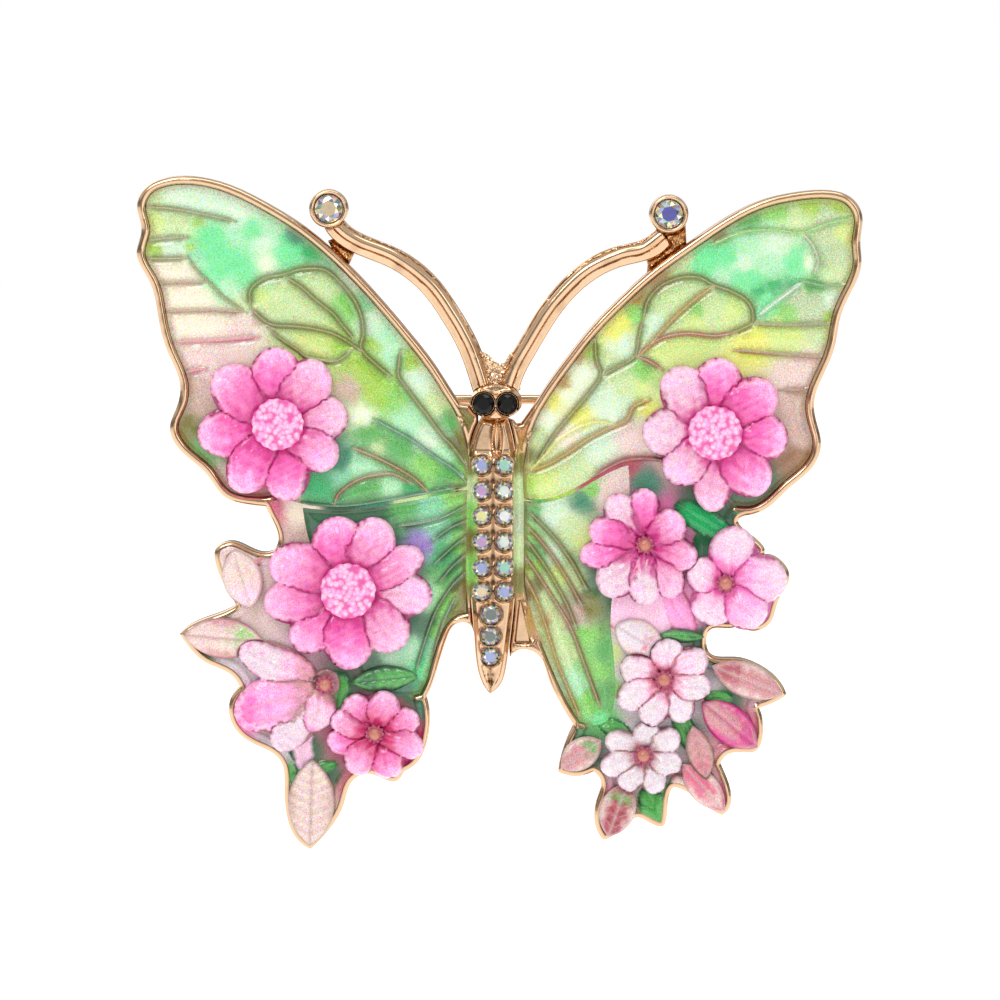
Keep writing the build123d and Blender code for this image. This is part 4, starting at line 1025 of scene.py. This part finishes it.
def petal_fields(points, middle, tips):
    """Height of each point, the step down to the next petal, its petal's number, and its place on that petal.

    Along is 0 at the flower's middle and 1 at the petal's tip, side is -1 and 1 at the petal's edges, and
    egg is 1 on the petal's outline.
    """
    under = RIM + 0.42 + 0.05 * ripple(points, 0.5)
    first, second = under.copy(), under.copy()
    owner, along_here, side_here, egg_here = (np.full(len(points), value) for value in (-1.0, 0.0, 0.0, 1.0))
    for index, (tip_x, tip_z, width, _) in enumerate(tips):
        along, side = lengthwise(points, middle, (tip_x, tip_z), width * 0.46)
        side = side + 0.09 * np.sin(along * 8 + index * 2.0)
        egg = ((along - 0.55) / 0.46) ** 2 + side ** 2 + 0.15 * ripple(points, 0.42, index)
        notch = 0.22 * np.exp(-(((side - 0.12 * np.sin(index * 3.0)) / 0.14) ** 2)) * smooth(along, 0.8, 0.98)
        bowl = 0.66 + 0.5 * smooth(along, 0.16, 0.5) - 0.3 * smooth(along, 0.74, 1.02)
        lift = bowl * (1 - 0.42 * side ** 2) - 0.34 * smooth(egg, 0.72, 1.06)
        lean = 0.12 * side * np.sin(index * 1.9 + 0.7)
        crumple = 0.1 * ripple(points, 0.5, index * 1.3) * smooth(along, 0.35, 0.7)
        grooves = 0.06 * np.cos(side * STREAKS) * smooth(along, 0.2, 0.5)
        grooves = grooves - 0.1 * np.exp(-((side / 0.12) ** 2))
        lift = lift + lean + crumple + 0.1 * np.exp(-(((egg - 0.72) / 0.12) ** 2)) * smooth(along, 0.5, 0.8)
        tier = (0.0, 0.2, 0.08)[(index * 2) % 3] if len(tips) % 2 else 0.19 * (index % 2)
        height = np.where(egg < 1.06, RIM + 0.06 + lift + grooves + tier - notch, 0)
        higher = height > first
        second = np.where(higher, first, np.maximum(second, height))
        first = np.where(higher, height, first)
        owner = np.where(higher, index, owner)
        along_here = np.where(higher, along, along_here)
        side_here = np.where(higher, side, side_here)
        egg_here = np.where(higher, egg, egg_here)
    return first, first - second, owner, along_here, side_here, egg_here


def flower(node, middle, tips, colours):
    """Petals over a node's outline, deep at the base and paler toward their tips, with painted shade in the
    creases and gaps between them.
    """
    base, body, tip = (linear(colour) for colour in colours)
    spread = -0.08 if node in PALE_FLOWERS else 0.06

    def height(points, distance):
        first, step = petal_fields(points, middle, tips)[:2]
        crease = 0.16 * np.exp(-((step / 0.07) ** 2))
        return np.minimum(first, RIM + FLOWER) - crease - 0.12 * np.exp(-((distance / 0.1) ** 2))

    def paint(points, distance):
        _, step, owner, along, side, egg = petal_fields(points, middle, tips)
        bent = along + 0.1 * ripple(points, 0.6) - 0.12 * np.abs(side)
        shade = mix(base, body, smooth(bent, 0.2 + spread, 0.52 + spread))
        shade = mix(shade, tip, 0.9 * smooth(bent, 0.55, 0.9))
        pale = np.array([paleness for *_, paleness in tips] + [0.0])[owner.astype(int)]
        shade = mix(shade, linear("petal_white"), pale * 0.85 * smooth(bent, 0.24, 0.56))
        curl = np.exp(-(((egg - 0.78) / 0.12) ** 2)) * smooth(along, 0.5, 0.8)
        shade = mix(shade, linear("blush"), 0.6 * curl)
        blotch = smooth(ripple(points, 1.1, 1.0) + 0.5 * np.sin(owner * 2.6), 0.25, 0.9)
        shade = mix(shade, np.minimum(tip * 1.2, 1), 0.6 * (blotch * smooth(along, 0.45, 0.8)))
        streaks = smooth(np.cos(side * STREAKS + 0.6), 0.2, 1) * smooth(0.95 - along, 0, 0.4)
        shade = mix(shade, base, (0.35 - 0.2 * pale) * streaks)
        # Painted shade in the creases where one petal meets or overlaps the next.
        shade = mix(shade, base * 0.7, 0.8 * np.exp(-((step / 0.12) ** 2)))
        # Painted shade: darker toward each petal's outline, where it dips into the valley beside it.
        shade = mix(shade, base * 0.7, 0.5 * smooth(egg, 0.9, 1.08))
        # Painted shade: points under no petal, in the gaps between petals, take a darkened base colour.
        return np.where((owner < 0)[:, None], base * 0.6, shade)

    mesh = Mesh()
    relief(mesh, front_loops(node, RIM + FLOWER), height, paint, RIM - 0.15, spacing=0.12, rings=(0.05, 0.12))
    slot = "pale_petal" if node in PALE_FLOWERS else "pink_petal"
    mesh.piece(node + "_petals", PETAL, slot, node, sharp=60)


for flower_node, (flower_middle, flower_tips, flower_colours) in FLOWERS.items():
    flower(flower_node, flower_middle, flower_tips, flower_colours)


def round_place(node):
    """Middle (x, z) and radius of a CAD node that is round from the front, and its levels at back and front."""
    low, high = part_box(node)
    centre = np.array((low.x + high.x, low.z + high.z)) / 2 / MM
    return centre, (high.x - low.x) / 2 / MM, -high.y / MM, -low.y / MM


def disc(node):
    """A daisy's middle: a low dome of small grains on a spiral."""
    centre, radius, _, _ = round_place(node)
    count = int((radius / 0.23) ** 2)
    shaker = np.random.default_rng(len(node))
    golden_angle = pi * (3 - 5 ** 0.5)
    turn = np.arange(count) * golden_angle + shaker.normal(0, 0.25, count)
    out = radius * np.sqrt((np.arange(count) + 0.5) / count) + shaker.normal(0, 0.05, count)
    size = shaker.uniform(0.12, 0.3, count)
    grains = centre + np.stack((out * np.cos(turn), out * np.sin(turn)), 1)
    edge_count = 96
    around = np.arange(edge_count) * 2 * pi / edge_count
    wobble = radius * 0.97 + 0.05 * np.sin(around * 17) + 0.03 * np.sin(around * 7 + 1)
    edge = centre + circle(edge_count, wobble)

    def height(points, distance):
        away, index = nearest(grains, points)
        share = np.linalg.norm(points - centre, axis=1) / radius
        dome = 0.62 * np.sqrt(np.clip(1 - share ** 2 * 0.94, 0, 1)) - 0.26 * np.exp(-((share / 0.3) ** 2))
        return RIM + FLOWER - 0.16 + dome + size[index] * np.exp(-((away / 0.2) ** 2))

    def paint(points, distance):
        away, index = nearest(grains, points)
        share = np.linalg.norm(points - centre, axis=1) / radius
        grain = mix(linear("blush"), linear("pink"), 0.5 + 0.5 * np.sin(index * 5.1))
        shade = mix(linear("hot_pink") * 0.85, grain, np.exp(-((away / 0.24) ** 4)))
        return mix(shade, linear("magenta"), 0.3 * smooth(share, 0.9, 1.0))

    mesh = Mesh()
    relief(mesh, [edge], height, paint, RIM + 0.6, spacing=0.075, rings=())
    mesh.piece(node + "_grains", GRAIN, "flower_disc", node, sharp=70)


def bead(node):
    """A small glossy dome in a collar of stamens."""
    centre = round_place(node)[0]
    radius, stamens, edge_count = 0.52, 11, 72
    around = np.arange(edge_count) * 2 * pi / edge_count
    edge = centre + circle(edge_count, radius + 0.22 + 0.07 * np.cos(around * stamens))

    def height(points, distance):
        out = np.linalg.norm(points - centre, axis=1)
        angle = np.arctan2(points[:, 1] - centre[1], points[:, 0] - centre[0])
        dome = np.sqrt(np.clip(1 - (out / radius) ** 2, 0, 1)) * 0.6
        collar = 0.12 + 0.05 * np.cos(angle * stamens)
        return RIM + FLOWER - 0.28 + np.where(out < radius, 0.16 + dome, collar)

    def paint(points, distance):
        out = np.linalg.norm(points - centre, axis=1)
        copper = np.array((0.44, 0.14, 0.09))
        return mix(copper, linear("crimson") * 0.6, smooth(out, radius * 0.9, radius * 1.1))

    mesh = Mesh()
    relief(mesh, [edge], height, paint, RIM + 0.5, spacing=0.06, rings=())
    mesh.piece(node + "_dome", BEAD_GLOSS, "copper_bead", node, sharp=60)


for cad_node in sorted(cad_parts):
    if cad_node.endswith("_disc"):
        disc(cad_node)
    elif cad_node.endswith("_bead"):
        bead(cad_node)


# ---------------------------------------------------------------- leaves and buds

# Each leaf: its two ends, its width, and colours at its edge, its middle and its second end
LEAVES = {
    "left_pale_leaf": ((-21.7, -12.3), (-20.3, -17.2), 3.3, "pale_rose", "pale_rose", "blush"),
    "left_side_leaf": ((-25.9, -19.4), (-19.2, -20.0), 3.4, "dusty_rose", "pale_rose", "spring"),
    "left_tail_leaf": ((-15.4, -37.0), (-15.2, -29.8), 3.9, "mauve", "pale_rose", "pale_rose"),
    "left_green_leaf": ((-6.4, -22.8), (-12.0, -23.4), 2.2, "forest", "green", "forest"),
    "right_small_bud": ((10.0, -18.6), (14.0, -21.0), 3.2, "pale_rose", "petal_white", "rose"),
    "right_stem_leaf": ((13.6, -19.4), (17.4, -19.6), 1.2, "forest", "green", "forest"),
    "right_upper_bud": ((23.9, -24.4), (18.0, -22.0), 2.9, "pale_rose", "dusty_rose", "maroon"),
    "right_middle_bud": ((17.2, -25.0), (21.8, -28.8), 3.2, "magenta", "dusty_rose", "magenta"),
    "right_mauve_leaf": ((16.4, -27.0), (17.6, -31.4), 2.2, "mauve", "dusty_rose", "rose"),
    "right_lower_bud": ((15.6, -30.2), (19.1, -34.1), 2.5, "pale_rose", "rose", "pale_rose"),
    "right_tail_leaf": ((9.4, -36.2), (11.0, -31.8), 3.0, "pale_rose", "maroon", "green"),
    "right_inner_leaf": ((5.5, -30.5), (8.8, -28.2), 2.6, "pale_rose", "dusty_rose", "green"),
}
# Leaves with side veins; the others are buds or plain
RIBBED_LEAVES = ("left_tail_leaf", "left_green_leaf", "right_stem_leaf", "right_mauve_leaf",
                 "right_tail_leaf", "right_inner_leaf")


def leaf(node, start, end, width, edge_colour, middle_colour, end_colour):
    """A folded leaf with a midrib and side veins."""
    length = hypot(*np.subtract(end, start))
    ribbed = node in RIBBED_LEAVES

    def fields(points):
        along, side = lengthwise(points, start, end, width / 2)
        side_veins = np.cos((along * length - np.abs(side) * 0.9) * 2 * pi / 0.85)
        return along, side, side_veins

    def height(points, distance):
        _, side, side_veins = fields(points)
        fold = 0.5 * (1 - np.abs(side) ** 1.6) - 0.16 * np.exp(-((side / 0.13) ** 2))
        ribs = 0.03 * side_veins if ribbed else 0.04 * ripple(points, 0.6)
        return RIM + 0.12 + 0.25 * smooth(distance, 0, 0.2) + np.clip(fold, 0, 1) * 0.8 + ribs

    def paint(points, distance):
        along, side, side_veins = fields(points)
        outward = smooth(np.abs(side) + 0.2 * ripple(points, 0.6), 0.35, 0.95)
        shade = mix(linear(middle_colour), linear(edge_colour), outward)
        endward = smooth(along + 0.12 * ripple(points, 0.5), 0.52, 0.8) * smooth(distance, 0.1, 0.5)
        shade = mix(shade, linear(end_colour), 0.85 * endward)
        veins = np.exp(-((side / 0.08) ** 2))
        if ribbed:
            veins += 0.5 * smooth(side_veins, 0.8, 1)
        shade = mix(shade, linear(edge_colour) * 0.7, 0.6 * np.clip(veins, 0, 1))
        return mix(shade, linear(edge_colour) * 0.6, 0.7 * np.exp(-((distance / 0.12) ** 2)))

    mesh = Mesh()
    relief(mesh, front_loops(node, RIM + LEAF), height, paint, RIM, spacing=0.12, rings=(0.05, 0.12))
    slot = "green_leaf" if node in ("left_green_leaf", "right_stem_leaf") else "rose_leaf"
    mesh.piece(node + "_blade", PETAL, slot, node, sharp=60)


for leaf_node, leaf_values in LEAVES.items():
    leaf(leaf_node, *leaf_values)


# ---------------------------------------------------------------- stones

# Painted reflections: light, dark and coloured flashes of the cut, coated glass, one to each facet
FACET_REFLECTIONS = np.array((
    (0.80, 0.88, 0.80), (0.36, 0.42, 0.74), (0.88, 0.84, 0.34), (0.34, 0.70, 0.56), (0.95, 0.95, 0.95),
    (0.60, 0.36, 0.66), (0.16, 0.20, 0.18), (0.86, 0.66, 0.42),
))
# Tints of two stones' flat tops
TABLES = {"left_antenna_stone": (0.62, 0.5, 0.32), "right_antenna_stone": (0.12, 0.12, 0.42)}


def brilliant(node, reflection_tints, dark, material):
    """A flat-backed round brilliant: girdle, sixteen girdle facets, eight kites, eight stars and a table."""
    centre, radius, bottom, top = round_place(node)
    girdle = bottom + (top - bottom) * 0.55
    seed = int(round(centre[0] * 31 + centre[1] * 17))
    spin = seed * 0.7

    def ring(count, share, height, shift=0.0):
        return standing(centre + circle(count, radius * share, shift * 2 * pi / count + spin), height)

    rows = (ring(16, 1.0, bottom), ring(16, 1.0, girdle), ring(8, 0.78, girdle + (top - girdle) * 0.62, 0.5),
            ring(8, 0.56, top))
    points = np.concatenate(rows)
    waist, kite, table = 16, 32, 40
    faces = [list(range(16))[::-1]]
    faces += [[waist + i, i, (i + 1) % 16, waist + (i + 1) % 16] for i in range(16)]
    foiled = len(faces)
    for i in range(8):
        after = (i + 1) % 8
        faces.append([waist + 2 * i, waist + 2 * i + 1, kite + i])
        faces.append([waist + 2 * i + 1, waist + (2 * i + 2) % 16, kite + i])
        faces.append([waist + 2 * i, kite + i, table + i])
        faces.append([table + after, kite + i, waist + (2 * i + 2) % 16])
        faces.append([table + i, kite + i, table + after])
    faces.append([table + i for i in range(8)])
    mesh = bpy.data.meshes.new(node + "_cut")
    mesh.from_pydata((points * MM).tolist(), [], faces)
    mesh.update()
    # Painted reflections: the crown's facets and table take reflection tints, brighter or darker from facet to
    # facet; the foiled back and girdle are dark.
    colours = mesh.attributes.new("paint", "FLOAT_COLOR", "CORNER")
    values = []
    for index, face in enumerate(mesh.polygons):
        if index < foiled:
            tint = dark
        elif index == len(mesh.polygons) - 1:
            tint = TABLES.get(node, reflection_tints[(seed + 6) % len(reflection_tints)] * 0.7)
        else:
            tint = reflection_tints[(index * 5 + seed) % len(reflection_tints)] * (0.65 + 0.35 * sin(index * 2.3 + seed))
        values += [(*tint, 1.0)] * len(face.vertices)
    colours.data.foreach_set("color", np.array(values, np.float32).ravel())
    thing = bpy.data.objects.new(node + "_cut", mesh)
    bpy.context.scene.collection.objects.link(thing)
    thing.data.materials.append(material)
    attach(thing, "brooch")
    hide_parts(node)


for cad_node in sorted(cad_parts):
    if cad_node.endswith("_eye"):
        brilliant(cad_node, FACET_REFLECTIONS * 0.006, (0.004, 0.004, 0.004), JET)
    elif "_stone" in cad_node:
        brilliant(cad_node, FACET_REFLECTIONS, (0.03, 0.02, 0.015), CRYSTAL)


# ---------------------------------------------------------------- findings

for cad_node, finish in (("pin_joint_bracket", FINDING), ("catch_housing", FINDING),
                         ("catch_roller", FINDING), ("pin_rivet", WIRE), ("pin_stem", WIRE)):
    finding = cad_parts[cad_node]
    finding.data.materials.clear()
    finding.data.materials.append(finish)


# ---------------------------------------------------------------- floor, light and camera

FLOOR_LEVEL = -0.0515


def stage_floor():
    mesh = bpy.data.meshes.new("floor")
    reach = 40.0
    corners = [(-reach, -reach, FLOOR_LEVEL), (reach, -reach, FLOOR_LEVEL), (reach, reach, FLOOR_LEVEL),
               (-reach, reach, FLOOR_LEVEL)]
    mesh.from_pydata(corners, [], [(0, 1, 2, 3)])
    thing = bpy.data.objects.new("floor", mesh)
    bpy.context.scene.collection.objects.link(thing)
    material, _, shader = nodes_of("pale floor")
    shader.inputs["Base Color"].default_value = (0.9, 0.9, 0.9, 1)
    shader.inputs["Roughness"].default_value = 0.9
    shader.inputs["Emission Color"].default_value = (1, 1, 1, 1)
    shader.inputs["Emission Strength"].default_value = 0.75
    thing.data.materials.append(material)


LIGHT_TARGET = Vector((0, 0, -0.008))


def soft_light(name, place, size, power):
    """A rectangular soft light that faces the brooch."""
    light = bpy.data.lights.new(name, "AREA")
    light.shape = "RECTANGLE"
    light.size, light.size_y = size
    light.energy = power
    thing = bpy.data.objects.new(name, light)
    bpy.context.scene.collection.objects.link(thing)
    thing.location = place
    thing.rotation_euler = (LIGHT_TARGET - Vector(place)).to_track_quat("-Z", "Y").to_euler()


def studio_dome():
    """White behind the brooch; for reflections a dome with a bright top, a dim band and a warm bottom."""
    world = bpy.data.worlds.new("studio")
    world.use_nodes = True
    bpy.context.scene.world = world
    tree = world.node_tree
    shade = tree.nodes["Background"]
    place = add_node(tree, "ShaderNodeTexCoord")
    split = add_node(tree, "ShaderNodeSeparateXYZ")
    tree.links.new(place.outputs["Generated"], split.inputs["Vector"])
    ramp = add_node(tree, "ShaderNodeValToRGB")
    stops = ((0.0, (0.2, 0.12, 0.07)), (0.28, (0.4, 0.3, 0.22)), (0.44, (0.6, 0.56, 0.52)),
             (0.53, (0.72, 0.7, 0.68)), (0.6, (0.24, 0.21, 0.19)), (0.68, (1.3, 1.3, 1.3)),
             (1.0, (1.1, 1.1, 1.1)))
    while len(ramp.color_ramp.elements) < len(stops):
        ramp.color_ramp.elements.new(0.5)
    for element, (position, colour) in zip(ramp.color_ramp.elements, stops):
        element.position = position
        element.color = (*colour, 1)
    scale = add_node(tree, "ShaderNodeMapRange")
    scale.inputs["From Min"].default_value = -1.0
    tree.links.new(split.outputs["Z"], scale.inputs["Value"])
    tree.links.new(scale.outputs["Result"], ramp.inputs["Fac"])
    path = add_node(tree, "ShaderNodeLightPath")
    level = add_node(tree, "ShaderNodeMapRange")
    level.inputs["To Min"].default_value = 0.44
    level.inputs["To Max"].default_value = 0.64
    tree.links.new(path.outputs["Is Glossy Ray"], level.inputs["Value"])
    dim = product(tree, level.outputs["Result"])
    tree.links.new(ramp.outputs["Color"], dim.inputs[6])
    choose = add_node(tree, "ShaderNodeMix", data_type="RGBA")
    tree.links.new(path.outputs["Is Camera Ray"], choose.inputs["Factor"])
    tree.links.new(dim.outputs[2], choose.inputs[6])
    choose.inputs[7].default_value = (1, 1, 1, 1)
    tree.links.new(choose.outputs[2], shade.inputs["Color"])
    shade.inputs["Strength"].default_value = 1.0


stage_floor()
studio_dome()
soft_light("key", (-0.16, -0.30, 0.30), (0.22, 0.16), 0.82)
soft_light("fill", (0.26, -0.30, 0.10), (0.10, 0.30), 0.25)
soft_light("top", (0.02, -0.06, 0.34), (0.30, 0.12), 0.35)
soft_light("back", (-0.2, 0.35, 0.2), (0.3, 0.3), 0.35)

ELEVATION = 2.5
DISTANCE = 0.42
FACE_LEVEL = -0.0062
VIEW_WIDTH = 0.083
aim = Vector((0.0004, FACE_LEVEL, -0.0082))
direction = Vector((0, -cos(radians(ELEVATION)), sin(radians(ELEVATION))))
camera_data = bpy.data.cameras.new("camera")
camera = bpy.data.objects.new("camera", camera_data)
bpy.context.scene.collection.objects.link(camera)
camera.location = aim + direction * DISTANCE
camera.rotation_euler = (-direction).to_track_quat("-Z", "Y").to_euler()
camera_data.sensor_width = 36
camera_data.lens = 36 * DISTANCE / VIEW_WIDTH
camera_data.clip_start = 0.01
bpy.context.scene.camera = camera
bpy.context.scene.view_settings.view_transform = "Standard"
